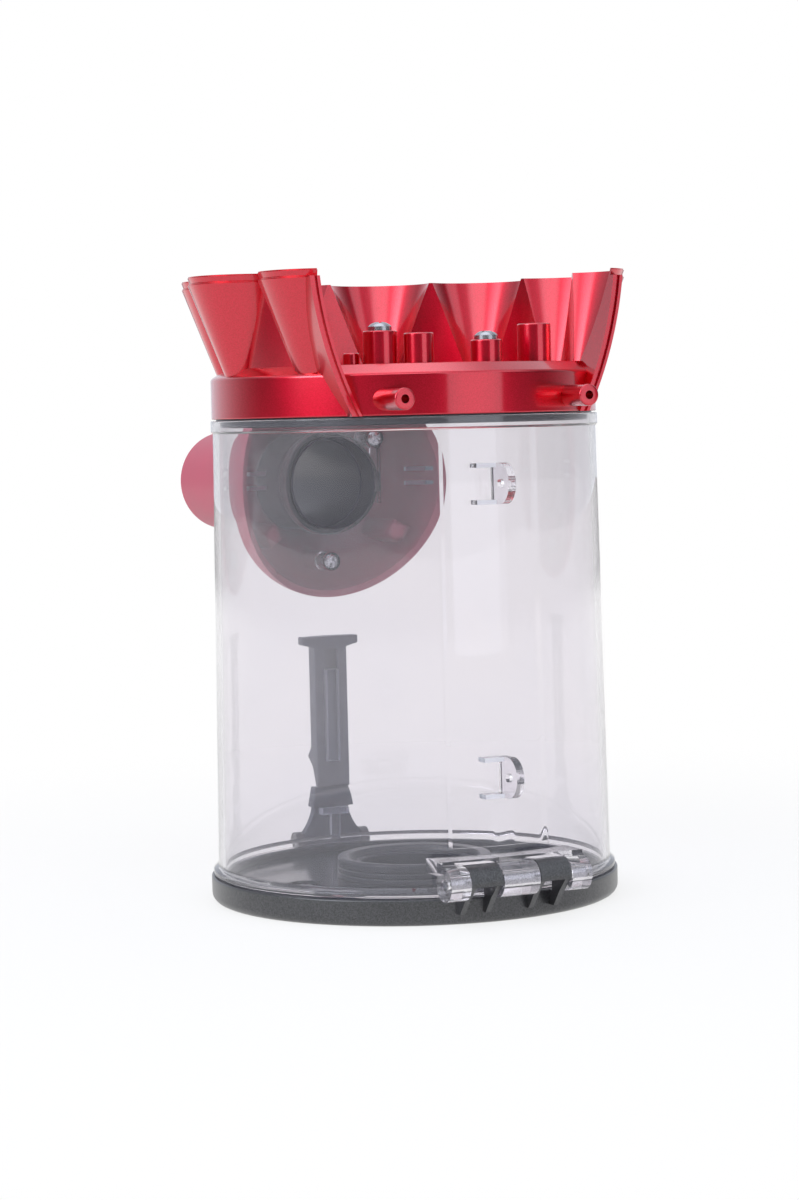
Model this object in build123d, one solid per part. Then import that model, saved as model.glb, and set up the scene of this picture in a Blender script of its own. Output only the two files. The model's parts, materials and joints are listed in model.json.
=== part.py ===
from build123d import *
import math
import os

# Cyclone dust bin of a stick vacuum cleaner, in millimetres, +Z up.
# The origin is on the bin's axis at the underside of the base, and +Y points to the inlet.

# Clearances
fit = 0.3
pin_play = 0.05
seat_play = 0.1

# Base dish, floor and seals
base_diameter = 118.0
base_height = 7.5
base_plate = 2.0
base_wall = 2.0
base_edge_round = 2.5
base_rim_round = 0.5
floor_top = 5.6
rim_seal_width = 2.1
rim_seal_height = 3.0
centre_seal_diameter = 44.8
centre_seal_bore = 32.0
centre_seal_height = 6.2
centre_seal_crest_width = 2.4
centre_seal_round = 0.8
centre_seal_step_depth = 2.2
floor_screw_spread = 68.0
floor_screw_forward = 2.0
floor_recess_diameter = 10.0
floor_recess_depth = 1.6
floor_screw_head = 6.0
floor_screw_head_height = 1.3
floor_screw_shank = 2.8

# Clear bin
bin_height = 130.7
bin_inset = 2.1
bin_taper_inset = 1.8
bin_wall = 1.8
flange_overhang = 1.4
flange_height = 2.6
collar_height = 3.6
collar_overhang = 0.6
rim_round = 0.4

# Rear spine and its ears
spine_angle = 32.0
spine_thickness = 0.8
spine_foot_height = 13.0
spine_rib_angle = 4.6
spine_rib_thickness = 1.3
lower_ear_height = 32.1
upper_ear_depth = 18.6
ear_reach = 11.5
ear_half_height = 5.6
ear_thickness = 2.2
ear_hole_diameter = 2.4
ear_rib_length = 7.0
ear_rib_thickness = 1.2
ear_rib_reach = 5.0

# Base hinge
hinge_setback = 4.2
hinge_rise = 5.0
knuckle_diameter = 9.4
hinge_pin_diameter = 3.0
hinge_mid_barrel = 11.0
hinge_knuckle = 10.0
hinge_end_barrel = 6.0
hinge_plate_thickness = 2.6
knuckle_mouth_depth = 0.8
leg_thickness = 1.6
leg_foot_height = 3.4

# Base catch and its pin
catch_standoff = 3.2
catch_rise = 1.0
catch_pin_diameter = 2.4
catch_width = 19.4
catch_neck_width = 11.6
catch_head_width = 14.0
catch_boss_diameter = 5.2
catch_plate = 3.0
catch_head_top = 25.2
catch_head_height = 6.1
catch_barb = 1.6
catch_barb_height = 3.4
catch_waist = 0.3
lever_set = 0.7
ear_boss_diameter = 6.0
ear_boss_width = 2.6
ear_root = 1.0
keeper_height = 2.0
keeper_width = 9.0
keeper_rib_width = 3.0

# Release slider and its rail
slider_gap = 0.7
slider_width = 11.0
slider_depth = 5.4
slider_foot = 25.4
slider_cowl_gap = 12.1
slider_travel = 6.0
slider_lip = 1.7
thumb_width = 19.0
thumb_height = 3.4
thumb_depth = 4.4
thumb_taper_height = 1.0
rail_stem_width = 4.0
rail_head_width = 7.0
rail_head_depth = 1.4
toe_slope = 0.407
toe_height = 6.0
toe_gap = 0.5
toe_bulge_depth = 3.0
toe_bulge_height = 3.0

# Inlet
inlet_drop = 19.7
inlet_reach = 138.0
inlet_bore = 27.0
duct_wall = 1.2
cowl_tube_diameter = 32.0
cowl_bell_diameter = 70.0
cowl_wall = 2.0
cowl_tube_wall = 1.1
cowl_bell_inset = 1.9
cowl_neck_length = 35.0
bell_swing_length = 2.0
bell_lag_share = 0.6
spigot_bore = 28.4
spigot_wall = 1.6
spigot_reach = 2.1
duct_seal_thickness = 1.8
duct_recess = 2.0
cowl_boss_inset = 11.0
cowl_upper_boss_gap = 1.2
cowl_upper_boss_angle = 48.4
cowl_boss_diameter = 6.0
cowl_boss_reach = 5.1
cowl_screw_head = 5.2
cowl_screw_head_height = 1.4
cowl_screw_shank = 2.6
cowl_screw_length = 14.0
cowl_screw_seat = 1.5
snap_tab_size = 5.5
snap_tab_inset = 8.6
snap_tab_angle = 125.6
snap_tab_turn_angle = 30.0
guide_rib_length = 7.5
guide_rib_thickness = 1.2
guide_rib_spacing = 4.3
guide_rib_rise = 1.5
guide_rib_gap = 1.5
guide_rib_inset = 5.9
spigot_rib_width = 1.2
spigot_rib_drop = 6.6

# Crown and its gasket
gasket_height = 0.4
gasket_inset = 1.0
gasket_lip_depth = 1.8
gasket_lip_thickness = 1.4
crown_overhang = 0.3
crown_ring_height = 11.5
crown_height = 40.0
crown_ring_wall = 2.5
ring_round = 1.2
crown_wall = 1.6
skirt_depth = 1.4
skirt_wall = 2.0
deck_rise = 14.2
deck_plate = 2.0
deck_bore_inset = 18.9
web_foot_inset = 4.4
web_top_inset = 3.4
lobe_count = 10
lobe_top_overhang = 10.0
lobe_foot_inset = 0.9
lobe_foot_diameter = 11.4
lobe_overlap = 1.6
lip_height = 2.0
lip_inset = 0.7
opening_half_foot_width = 33.5
opening_half_mid_width = 41.4
opening_half_top_width = 45.4
opening_mid_height = 19.6
fin_width = 3.0
fin_inset = 10.9
fin_depth = 16.0
fin_groove_width = 1.2
fin_groove_depth = 0.8
post_inset = 13.4
post_bevel = 0.4
post_hole_diameter = 2.6
post_hole_depth = 6.0
crown_screw_head = 6.6
crown_screw_head_height = 2.4
crown_screw_round = 1.4
crown_screw_length = 5.0
boss_spread = 56.0
boss_rise = 4.4
boss_diameter = 6.0
boss_hole_diameter = 2.4
boss_hole_depth = 8.0
boss_face = 4.6

# Posts on the crown's deck: angle from the rear, diameter and height
screw_posts = ((-33.7, 9.5, 9.1), (8.2, 8.7, 6.2))
open_posts = ((-19.2, 8.3, 8.3), (36.9, 9.5, 10.7))
stub_post = (-45.0, 4.6, 3.2)

# Places worked out from the driving dimensions
base_radius = base_diameter / 2
bin_foot = base_height + fit + seat_play
bin_top = bin_foot + bin_height
bin_foot_radius = base_radius - bin_inset
bin_top_radius = bin_foot_radius - bin_taper_inset
collar_radius = bin_top_radius + collar_overhang
hinge_y = -(base_radius + hinge_setback)
hinge_z = base_height + hinge_rise
knuckle_radius = knuckle_diameter / 2
catch_y = base_radius + catch_standoff
catch_z = base_height + catch_rise
lower_ear_z = bin_foot + lower_ear_height
upper_ear_z = bin_top - upper_ear_depth
barb_low = catch_head_top - catch_head_height
slider_back = bin_foot_radius + slider_gap
inlet_z = bin_top - inlet_drop
slider_top = inlet_z - cowl_bell_diameter / 2 - slider_cowl_gap
spigot_end = bin_foot_radius + spigot_reach
cowl_boss_end = bin_foot_radius + cowl_boss_reach
crown_foot = bin_top + gasket_height
crown_top = crown_foot + crown_height
ring_radius = bin_top_radius + crown_overhang
ring_top = crown_foot + crown_ring_height
deck_top = crown_foot + deck_rise
fin_face = -ring_radius + fin_inset
boss_front = -ring_radius - boss_face
boss_z = crown_foot + boss_rise


def wall_radius(z):
    """Outer radius of the clear wall at a height."""
    return bin_foot_radius - bin_taper_inset * (z - bin_foot) / bin_height


def turned(*points):
    """Solid of revolution about Z from a closed outline of (radius, z) points."""
    return revolve(Plane.XZ * make_face(Polyline(*points, close=True)), Axis.Z)


def turned_arc(arc, *points):
    """Part turn about Z of a closed outline, centred on the rear of the bin."""
    face = Plane.XZ * make_face(Polyline(*points, close=True))
    return Rot(0, 0, -90 - arc / 2) * revolve(face, Axis.Z, arc)


def side_plate(width, *points):
    """Plate of a closed (y, z) outline, centred on X = 0."""
    return extrude(Plane.YZ * make_face(Polyline(*points, close=True)), width / 2, both=True)


def front_plate(low_y, high_y, face):
    """Prism along Y of a face drawn in (x, z)."""
    return extrude(Plane.XZ.offset(-low_y) * face, low_y - high_y)


def rod_x(radius, low_x, high_x, y, z):
    """Cylinder along X."""
    return Pos((low_x + high_x) / 2, y, z) * Rot(0, 90, 0) * Cylinder(radius, high_x - low_x)


def rod_y(radius, low_y, high_y, x, z):
    """Cylinder along Y."""
    return Pos(x, (low_y + high_y) / 2, z) * Rot(90, 0, 0) * Cylinder(radius, high_y - low_y)


def rod_z(radius, low_z, high_z, x, y):
    """Cylinder along Z."""
    return Pos(x, y, (low_z + high_z) / 2) * Cylinder(radius, high_z - low_z)


def block(low_x, high_x, low_y, high_y, low_z, high_z):
    """Box between two corners."""
    centre = Pos((low_x + high_x) / 2, (low_y + high_y) / 2, (low_z + high_z) / 2)
    return centre * Box(high_x - low_x, high_y - low_y, high_z - low_z)


def save(name, *solids):
    """Write one node's solids to its own file."""
    shape = solids[0] if len(solids) == 1 else Compound(children=list(solids))
    shape.label = name
    export_step(shape, f"parts/{name}.step")


def knuckle_spans():
    """X ranges of the two base knuckles, between the clear barrels."""
    inner = hinge_mid_barrel / 2
    return [(side * inner, side * (inner + hinge_knuckle)) for side in (-1, 1)]


def floor_screw_places():
    """X and Y of the screws that hold the floor in the dish."""
    return [(side * floor_screw_spread / 2, floor_screw_forward) for side in (-1, 1)]


def make_base_cover():
    """Painted dish with the hinge knuckles at the rear and the catch ears at the front."""
    dish = Pos(0, 0, base_height / 2) * Cylinder(base_radius, base_height)
    dish = fillet(dish.edges().group_by(Axis.Z)[0], base_edge_round)
    dish = fillet(dish.edges().group_by(Axis.Z)[-1], base_rim_round)
    for low_x, high_x in knuckle_spans():
        dish += make_knuckle(min(low_x, high_x) + fit, max(low_x, high_x) - fit)
    for side in (-1, 1):
        dish += make_catch_ear(side)
    cavity_radius = base_radius - base_wall
    dish -= rod_z(cavity_radius, base_plate, base_height, 0, 0)
    for x, y in floor_screw_places():
        dish -= rod_z(floor_screw_shank / 2 + pin_play, base_plate / 2, base_plate, x, y)
    return dish


def make_knuckle(low_x, high_x):
    """Half-round hook over the hinge pin, open below between two tapered legs."""
    hook = rod_x(knuckle_radius, low_x, high_x, hinge_y, hinge_z)
    hook -= block(low_x, high_x, hinge_y - base_radius, 0, 0, hinge_z - knuckle_mouth_depth)
    root = -base_radius + base_wall + fit
    outline = (
        (hinge_y - knuckle_radius, hinge_z),
        (-base_radius, hinge_z),
        (-base_radius, base_height),
        (root, base_height),
        (root, leg_foot_height),
        (-base_radius - leg_thickness / 2, leg_foot_height),
        (hinge_y, hinge_z - knuckle_radius),
    )
    leg = side_plate(leg_thickness, *outline)
    for x in (low_x + leg_thickness / 2, high_x - leg_thickness / 2):
        hook += Pos(x, 0, 0) * leg
    return hook - rod_x(hinge_pin_diameter / 2 + pin_play, low_x, high_x, hinge_y, hinge_z)


def make_catch_ear(side):
    """Arched ear that holds one end of the catch pin."""
    inner = catch_width / 2 + fit
    radius = ear_boss_diameter / 2
    low_x = min(side * inner, side * (inner + ear_boss_width))
    high_x = max(side * inner, side * (inner + ear_boss_width))
    root = base_radius - base_wall - ear_root
    foot = (
        (root, base_plate),
        (base_radius, base_plate),
        (catch_y + radius, catch_z),
        (catch_y - radius, catch_z),
        (catch_y - radius, base_height),
        (root, base_height),
    )
    ear = Pos((low_x + high_x) / 2, 0, 0) * side_plate(ear_boss_width, *foot)
    ear += rod_x(radius, low_x, high_x, catch_y, catch_z)
    return ear - rod_x(catch_pin_diameter / 2 + pin_play, low_x, high_x, catch_y, catch_z)


def make_base_floor():
    """Glossy inner floor with a step for the rim seal and two screw recesses."""
    outer = base_radius - base_wall - seat_play
    step = outer - rim_seal_width - seat_play
    seat = bin_foot - fit - rim_seal_height
    floor = turned((0, base_plate), (outer, base_plate), (outer, seat), (step, seat),
                   (step, floor_top), (0, floor_top))
    for x, y in floor_screw_places():
        floor -= rod_z(floor_recess_diameter / 2, floor_top - floor_recess_depth, floor_top, x, y)
        floor -= rod_z(floor_screw_shank / 2 + pin_play, base_plate, floor_top, x, y)
    return floor


def make_rim_seal():
    """Rubber ring under the bin's lower edge, on the floor's step."""
    outer = base_radius - base_wall - seat_play
    inner = outer - rim_seal_width
    low = bin_foot - fit - rim_seal_height
    high = bin_foot - fit
    bevel = rim_seal_width / 4
    return turned((inner, low), (outer, low), (outer, high - bevel), (outer - bevel, high),
                  (inner + bevel, high), (inner, high - bevel))


def make_centre_seal():
    """Rubber ring on the floor that closes the fine dust collector."""
    outer = centre_seal_diameter / 2
    bore = centre_seal_bore / 2
    top = floor_top + centre_seal_height
    step = top - centre_seal_step_depth
    crest = outer - centre_seal_round - centre_seal_crest_width
    return turned(
        (bore, floor_top),
        (outer, floor_top),
        (outer, top - centre_seal_round),
        (outer - centre_seal_round, top),
        (crest, top - centre_seal_round / 2),
        (crest - centre_seal_round, step),
        (bore, step),
    )


def make_floor_screws():
    """Two screws through the floor into the dish."""
    seat = floor_top - floor_recess_depth
    screws = []
    for x, y in floor_screw_places():
        screw = rod_z(floor_screw_head / 2, seat, seat + floor_screw_head_height, x, y)
        screw += rod_z(floor_screw_shank / 2, base_plate / 2 + fit, seat, x, y)
        screws.append(screw)
    return screws


def bin_outline(grow):
    """Filled revolve of the bin's outside, grown by a clearance."""
    flange = bin_foot_radius + flange_overhang + grow
    collar = collar_radius + grow
    face = make_face(Polyline(
        (0, bin_foot - grow),
        (flange, bin_foot - grow),
        (flange, bin_foot + flange_height / 2 + grow),
        (wall_radius(bin_foot + flange_height) + grow, bin_foot + flange_height + grow),
        (wall_radius(bin_top - collar_height) + grow, bin_top - collar_height - grow),
        (collar, bin_top - collar_height + collar_overhang - grow),
        (collar, bin_top + grow),
        (0, bin_top + grow),
        close=True,
    ))
    rims = face.vertices().filter_by(lambda v: v.X > collar - seat_play)
    return revolve(Plane.XZ * fillet(rims, rim_round), Axis.Z)


def make_bin_shell():
    """Clear tapered bin with its spine, ears, hinge barrels, rail, keeper, spigot and bosses."""
    shell = bin_outline(0)
    shell += make_spine()
    for z in (lower_ear_z, upper_ear_z):
        shell += make_ear(z)
    shell += make_hinge_barrels()
    shell += make_rail()
    shell += make_keeper()
    shell += rod_y(spigot_bore / 2 + spigot_wall, 0, spigot_end, 0, inlet_z)
    for x, dz in cowl_boss_places():
        shell += rod_y(cowl_boss_diameter / 2, 0, cowl_boss_end, x, inlet_z + dz)
    for rib in make_inlet_ribs():
        shell += rib
    foot_inner = bin_foot_radius - bin_wall
    top_inner = bin_top_radius - bin_wall
    shell -= turned((0, bin_foot), (foot_inner, bin_foot), (top_inner, bin_top), (0, bin_top))
    shell -= rod_y(spigot_bore / 2, 0, spigot_end, 0, inlet_z)
    for x, dz in cowl_boss_places():
        seat = screw_seat(x, inlet_z + dz)
        shell -= rod_y(cowl_screw_head / 2 + seat_play, 0, seat, x, inlet_z + dz)
        shell -= rod_y(cowl_screw_shank / 2 + pin_play, 0, cowl_boss_end, x, inlet_z + dz)
    return shell


def make_inlet_ribs():
    """Short shelves beside the inlet that guide the cowl, and an upright rib along the spigot."""
    far = cowl_bell_diameter / 2 - cowl_wall - guide_rib_gap
    near = far - guide_rib_length
    front = bin_foot_radius - guide_rib_inset
    half = guide_rib_thickness / 2
    ribs = []
    for step in (-1, 1):
        z = inlet_z + guide_rib_rise + step * guide_rib_spacing / 2
        for low_x, high_x in ((-far, -near), (near, far)):
            ribs.append(block(low_x, high_x, 0, front, z - half, z + half))
    low_x = spigot_bore / 2 + spigot_wall - fit
    upper = cowl_boss_places()[0]
    ribs.append(block(low_x, low_x + spigot_rib_width, 0, spigot_end - fit, inlet_z - spigot_rib_drop,
                      inlet_z + upper[1]))
    return ribs


def screw_seat(x, z):
    """Y of the seat of a screw head in the front wall."""
    return math.sqrt((wall_radius(z) - bin_wall) ** 2 - x ** 2) + cowl_screw_seat


def make_spine():
    """Raised land down the rear wall with a thin rib along its middle."""
    low = bin_foot + spine_foot_height
    high = bin_top - collar_height
    spine = None
    for arc, raise_by in ((spine_angle, spine_thickness), (spine_rib_angle, spine_rib_thickness)):
        inner_low = wall_radius(low) - bin_wall / 2
        inner_high = wall_radius(high) - bin_wall / 2
        outer_low = wall_radius(low) + raise_by
        outer_high = wall_radius(high) + raise_by
        land = turned_arc(arc, (inner_low, low), (outer_low, low), (outer_high, high), (inner_high, high))
        spine = land if spine is None else spine + land
    return spine


def make_ear(z):
    """Upright ear with an eye, and a short shelf above and below it."""
    root = -wall_radius(z) + bin_wall / 2
    tip = -wall_radius(z) - ear_reach
    nose = tip + ear_half_height
    plate = side_plate(ear_thickness, (root, z - ear_half_height), (nose, z - ear_half_height),
                       (nose, z + ear_half_height), (root, z + ear_half_height))
    plate += rod_x(ear_half_height, -ear_thickness / 2, ear_thickness / 2, nose, z)
    for side in (-1, 1):
        mid = z + side * (ear_half_height - ear_rib_thickness / 2)
        plate += block(-ear_rib_length, 0, root - ear_rib_reach, root,
                       mid - ear_rib_thickness / 2, mid + ear_rib_thickness / 2)
    return plate - rod_x(ear_hole_diameter / 2, -ear_thickness / 2, ear_thickness / 2, nose, z)


def make_hinge_barrels():
    """Three clear barrels for the hinge pin, each carried by a plate from the wall."""
    half = hinge_mid_barrel / 2
    reach = half + hinge_knuckle
    spans = ((-reach - hinge_end_barrel, -reach), (-half, half), (reach, reach + hinge_end_barrel))
    top = hinge_z + knuckle_radius
    barrels = None
    for low_x, high_x in spans:
        barrel = rod_x(knuckle_radius, low_x, high_x, hinge_y, hinge_z)
        barrel += block(low_x, high_x, hinge_y, -bin_foot_radius / 2, top - hinge_plate_thickness, top)
        barrels = barrel if barrels is None else barrels + barrel
    bore = hinge_pin_diameter / 2 + pin_play
    return barrels - rod_x(bore, -reach - hinge_end_barrel, reach + hinge_end_barrel, hinge_y, hinge_z)


def rail_top():
    """Height of the rail's upper end, under the slider's thumb piece at full travel."""
    return slider_top - thumb_height - slider_travel - 3 * fit


def rail_foot():
    """Height of the rail's lower end, above the slider's toe."""
    return slider_foot + toe_height + 2 * fit + rail_head_depth


def make_rail():
    """T-shaped rail on the front wall for the slider."""
    stem_front = slider_back + slider_lip + fit
    rail = block(-rail_stem_width / 2, rail_stem_width / 2, 0, stem_front, rail_foot(), rail_top())
    rail += block(-rail_head_width / 2, rail_head_width / 2, stem_front, stem_front + rail_head_depth,
                  rail_foot(), rail_top())
    return rail


def lever_back():
    """Y of the catch lever's face towards the bin."""
    return catch_y - catch_boss_diameter / 2 + lever_set


def make_keeper():
    """Lug that the catch hooks over, on a rib that rises from the flange."""
    high = barb_low - fit
    low = high - keeper_height
    lug = block(-keeper_width / 2, keeper_width / 2, 0, lever_back() - fit, low, high)
    rib_front = bin_foot_radius + flange_overhang
    return lug + block(-keeper_rib_width / 2, keeper_rib_width / 2, 0, rib_front, bin_foot, high)


def make_base_catch():
    """Bell-shaped lever with a barb at its head, turning on a pin in the dish's ears."""
    back = lever_back()
    front = back + catch_plate
    barb = back - catch_barb
    barb_high = barb_low + catch_barb_height
    lead_in = back - fit
    profile = side_plate(catch_width, (back, catch_z), (back, barb_low), (barb, barb_low),
                         (barb, barb_high), (lead_in, catch_head_top), (front - fit, catch_head_top),
                         (front, catch_z))
    profile += rod_x(catch_boss_diameter / 2, -catch_width / 2, catch_width / 2, catch_y, catch_z)
    foot_half = catch_width / 2
    neck_half = catch_neck_width / 2
    head_half = catch_head_width / 2
    shoulder = catch_z + catch_boss_diameter / 2
    low = catch_z - catch_boss_diameter
    right = Polyline((foot_half, low), (foot_half, shoulder))
    waist = (neck_half + (foot_half - neck_half) * catch_waist, (shoulder + barb_low) / 2)
    right += ThreePointArc((foot_half, shoulder), waist, (neck_half, barb_low))
    right += Polyline((neck_half, barb_low), (head_half, barb_low), (neck_half, catch_head_top),
                      (0, catch_head_top))
    right += Polyline((0, low), (foot_half, low))
    right += Polyline((0, low), (0, catch_head_top))
    half = front_plate(barb - catch_plate, front + catch_plate, make_face(right))
    lever = profile & (half + mirror(half, Plane.YZ))
    return lever - rod_x(catch_pin_diameter / 2 + pin_play, -foot_half, foot_half, catch_y, catch_z)


def make_catch_pin():
    """Plain pin through the catch and both ears."""
    half = catch_width / 2 + fit + ear_boss_width
    return rod_x(catch_pin_diameter / 2, -half, half, catch_y, catch_z)


def make_release_slider():
    """Release slider: grooved shaft on the rail, thumb piece above and a wedge toe below."""
    front = slider_back + slider_depth
    toe_top = slider_foot + toe_height
    toe_front = lever_back() - fit - toe_gap
    thumb_low = slider_top - thumb_height
    bulge_z = toe_top + toe_bulge_height
    shaft = side_plate(
        slider_width,
        (slider_back, slider_foot),
        (toe_front, slider_foot),
        (toe_front + toe_slope * toe_height, toe_top),
        (front + toe_bulge_depth, bulge_z),
        (front, bulge_z + toe_bulge_height),
        (front, slider_top),
        (slider_back, slider_top),
    )
    half = thumb_width / 2
    neck = slider_width / 2
    shoulder = thumb_low + thumb_taper_height
    thumb = make_face(Polyline(
        (-half, slider_top),
        (-half, shoulder),
        (-neck, thumb_low),
        (neck, thumb_low),
        (half, shoulder),
        (half, slider_top),
        close=True,
    ))
    shaft += front_plate(slider_back, slider_back + thumb_depth, thumb)
    slot_foot = rail_foot() - fit
    slot_top = rail_top() + slider_travel + fit
    stem = rail_stem_width / 2 + fit
    head = rail_head_width / 2 + fit
    head_back = slider_back + slider_lip
    shaft -= block(-stem, stem, slider_back, head_back, slot_foot, slot_top)
    shaft -= block(-head, head, head_back, head_back + rail_head_depth + 2 * fit, slot_foot, slot_top)
    return shaft


def make_hinge_pin():
    """Plain pin through the clear barrels and the knuckles."""
    half = hinge_mid_barrel / 2 + hinge_knuckle + hinge_end_barrel
    return rod_x(hinge_pin_diameter / 2, -half + fit, half - fit, hinge_y, hinge_z)


def cowl_boss_places():
    """X and rise from the inlet axis of the two screws that hold the cowl."""
    upper = spigot_bore / 2 + spigot_wall + cowl_upper_boss_gap + cowl_boss_diameter / 2
    turn = math.radians(cowl_upper_boss_angle)
    lower = cowl_bell_diameter / 2 - cowl_boss_inset
    return [(upper * math.sin(turn), upper * math.cos(turn)), (0, -lower)]


def bell(inset, tube_radius, end):
    """Bell about the inlet axis: a wide mouth at the bin that narrows in an S curve to a tube."""
    mouth = cowl_bell_diameter / 2 - inset
    start = bin_foot_radius - cowl_bell_inset - inset * bell_lag_share
    finish = start + cowl_neck_length
    middle = (start + finish) / 2
    curve = Bezier((start, mouth), (middle + bell_swing_length, mouth),
                   (middle - bell_swing_length, tube_radius), (finish, tube_radius))
    outline = Polyline((0, 0), (0, mouth), (start, mouth)) + curve
    outline += Polyline((finish, tube_radius), (end, tube_radius), (end, 0), (0, 0))
    return Pos(0, 0, inlet_z) * Rot(0, 0, 90) * revolve(make_face(outline), Axis.X)


def make_inlet_cowl():
    """Red nose: a hollow bell that hugs the bin wall and narrows to the inlet tube."""
    tube = cowl_tube_diameter / 2
    roof = bin_top - fit
    reach = cowl_bell_diameter
    above = block(-reach, reach, 0, inlet_reach * 2, roof, roof + reach)
    outside = bell(0, tube, inlet_reach) - above
    inside = bell(cowl_wall, tube - cowl_tube_wall, inlet_reach)
    inside -= block(-reach, reach, 0, inlet_reach * 2, roof - cowl_wall, roof + reach)
    cowl = outside - inside
    fixings = None
    for x, dz in cowl_boss_places():
        post = rod_y(cowl_boss_diameter / 2, cowl_boss_end + fit, inlet_reach, x, inlet_z + dz)
        fixings = post if fixings is None else fixings + post
    spread = cowl_bell_diameter / 2 - snap_tab_inset
    for side in (-1, 1):
        turn = math.radians(snap_tab_angle)
        tab = Rot(0, side * snap_tab_turn_angle, 0) * Box(snap_tab_size, inlet_reach, snap_tab_size)
        place = Pos(side * spread * math.sin(turn), inlet_reach / 2, inlet_z + spread * math.cos(turn))
        fixings += place * tab
    fixings -= rod_y(tube + cowl_tube_wall, 0, inlet_reach, 0, inlet_z)
    cowl += fixings & outside
    cowl -= bin_outline(fit)
    for x, dz in cowl_boss_places():
        hole = cowl_screw_shank / 2 + pin_play
        cowl -= rod_y(hole, cowl_boss_end, screw_end(x, dz) + fit, x, inlet_z + dz)
    return cowl


def screw_end(x, dz):
    """Y of the tip of a cowl screw."""
    return screw_seat(x, inlet_z + dz) + cowl_screw_length


def make_cowl_screws():
    """Screws driven from inside the bin into the cowl's posts."""
    screws = []
    for x, dz in cowl_boss_places():
        seat = screw_seat(x, inlet_z + dz)
        screw = rod_y(cowl_screw_head / 2, seat - cowl_screw_head_height, seat, x, inlet_z + dz)
        screw += rod_y(cowl_screw_shank / 2, seat, screw_end(x, dz), x, inlet_z + dz)
        screws.append(screw)
    return screws


def make_duct_seal():
    """Rubber ring between the bin's spigot and the duct."""
    ring = rod_y(spigot_bore / 2 + spigot_wall, spigot_end, spigot_end + duct_seal_thickness, 0, inlet_z)
    return ring - rod_y(spigot_bore / 2, spigot_end, spigot_end + duct_seal_thickness, 0, inlet_z)


def make_inlet_duct():
    """Dark liner of the inlet tube, with a foot that presses on the seal."""
    start = spigot_end + duct_seal_thickness
    end = inlet_reach - duct_recess
    duct = rod_y(inlet_bore / 2 + duct_wall, start, end, 0, inlet_z)
    duct += rod_y(spigot_bore / 2 + spigot_wall, start, start + duct_recess, 0, inlet_z)
    return duct - rod_y(inlet_bore / 2, start, end, 0, inlet_z)


def lip_outer():
    """Outer radius of the gasket's lip inside the bin wall."""
    return bin_top_radius - bin_wall - fit


def make_top_gasket():
    """Dark gasket between rim and crown, with a lip that hangs inside the bin wall."""
    inner = lip_outer() - gasket_lip_thickness
    outer = bin_top_radius - gasket_inset
    low = bin_top - gasket_lip_depth
    return turned((inner, low), (lip_outer(), low), (lip_outer(), bin_top), (outer, bin_top),
                  (outer, crown_foot), (inner, crown_foot))


def lobe_section(angle, grow, z):
    """Round section of one lobe at a height: wide and far out at the top, narrow at the foot."""
    share = (z - ring_top) / (crown_top - ring_top)
    pitch_share = math.sin(math.pi / lobe_count)
    top_axis = (ring_radius + lobe_top_overhang - lobe_overlap) / (1 + pitch_share)
    top_size = top_axis * pitch_share + lobe_overlap
    foot_size = lobe_foot_diameter / 2
    foot_axis = ring_radius - lobe_foot_inset - foot_size
    axis = foot_axis + (top_axis - foot_axis) * share
    size = foot_size + (top_size - foot_size) * share + grow
    turn = math.radians(angle)
    return Plane((axis * math.sin(turn), axis * math.cos(turn), z)) * Circle(size)


def crown_form(grow, low, high):
    """Scalloped form of the crown between two heights: a slim cone ringed by lobes, none at the rear."""
    foot = ring_radius - web_foot_inset + grow
    top = ring_radius - web_top_inset + grow
    form = turned((0, low), (foot, low), (top, high), (0, high))
    pitch = 360 / lobe_count
    for count in range(1, lobe_count - 1):
        sections = [lobe_section(180 + pitch * (count + 0.5), grow, z) for z in (low, high)]
        form += loft(sections, ruled=True)
    return form


def crown_ring():
    """Filled revolve of the crown's band, its sloping shelf and the skirt inside the gasket."""
    skirt = lip_outer() - gasket_lip_thickness - seat_play
    face = make_face(Polyline(
        (0, crown_foot - skirt_depth),
        (skirt, crown_foot - skirt_depth),
        (skirt, crown_foot),
        (ring_radius, crown_foot),
        (ring_radius, ring_top),
        (ring_radius - web_foot_inset, deck_top),
        (0, deck_top),
        close=True,
    ))
    shoulder = face.vertices().filter_by(lambda v: abs(v.Y - ring_top) < fit)
    return revolve(Plane.XZ * fillet(shoulder, ring_round), Axis.Z)


def opening_edge(outset):
    """Outline in (x, z) of the rear opening, widened by an amount."""
    high = crown_top + crown_wall
    sides = []
    for side in (-1, 1):
        foot = (side * (opening_half_foot_width + outset), crown_foot)
        mid = (side * (opening_half_mid_width + outset), crown_foot + opening_mid_height)
        top = (side * (opening_half_top_width + outset), high)
        sides.append(ThreePointArc(foot, mid, top))
    left, right = sides
    return make_face(left + right + Line(left @ 0, right @ 0) + Line(left @ 1, right @ 1))


def opening_band(rear, front, inner, outer):
    """Curved strip that follows both sides of the rear opening, between two outsets."""
    return front_plate(rear, front, opening_edge(outer)) - front_plate(rear, front, opening_edge(inner))


def make_fins():
    """Grooved fins along the rear opening, flush with the flat face of the cleaner's body."""
    below_lip = crown_top - lip_height
    fins = opening_band(fin_face, fin_face + fin_depth, 0, fin_width)
    inner = (fin_width - fin_groove_width) / 2
    fins -= opening_band(fin_face, fin_face + fin_groove_depth, inner, inner + fin_groove_width)
    reach = ring_radius * 2
    return fins - block(-reach, reach, -reach, reach, below_lip, below_lip + reach)


def make_post(x, y, diameter, height):
    """Round post on the crown's deck with a bevelled top."""
    post = rod_z(diameter / 2, deck_top - deck_plate / 2, deck_top + height, x, y)
    return chamfer(post.edges().group_by(Axis.Z)[-1], post_bevel)


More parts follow.
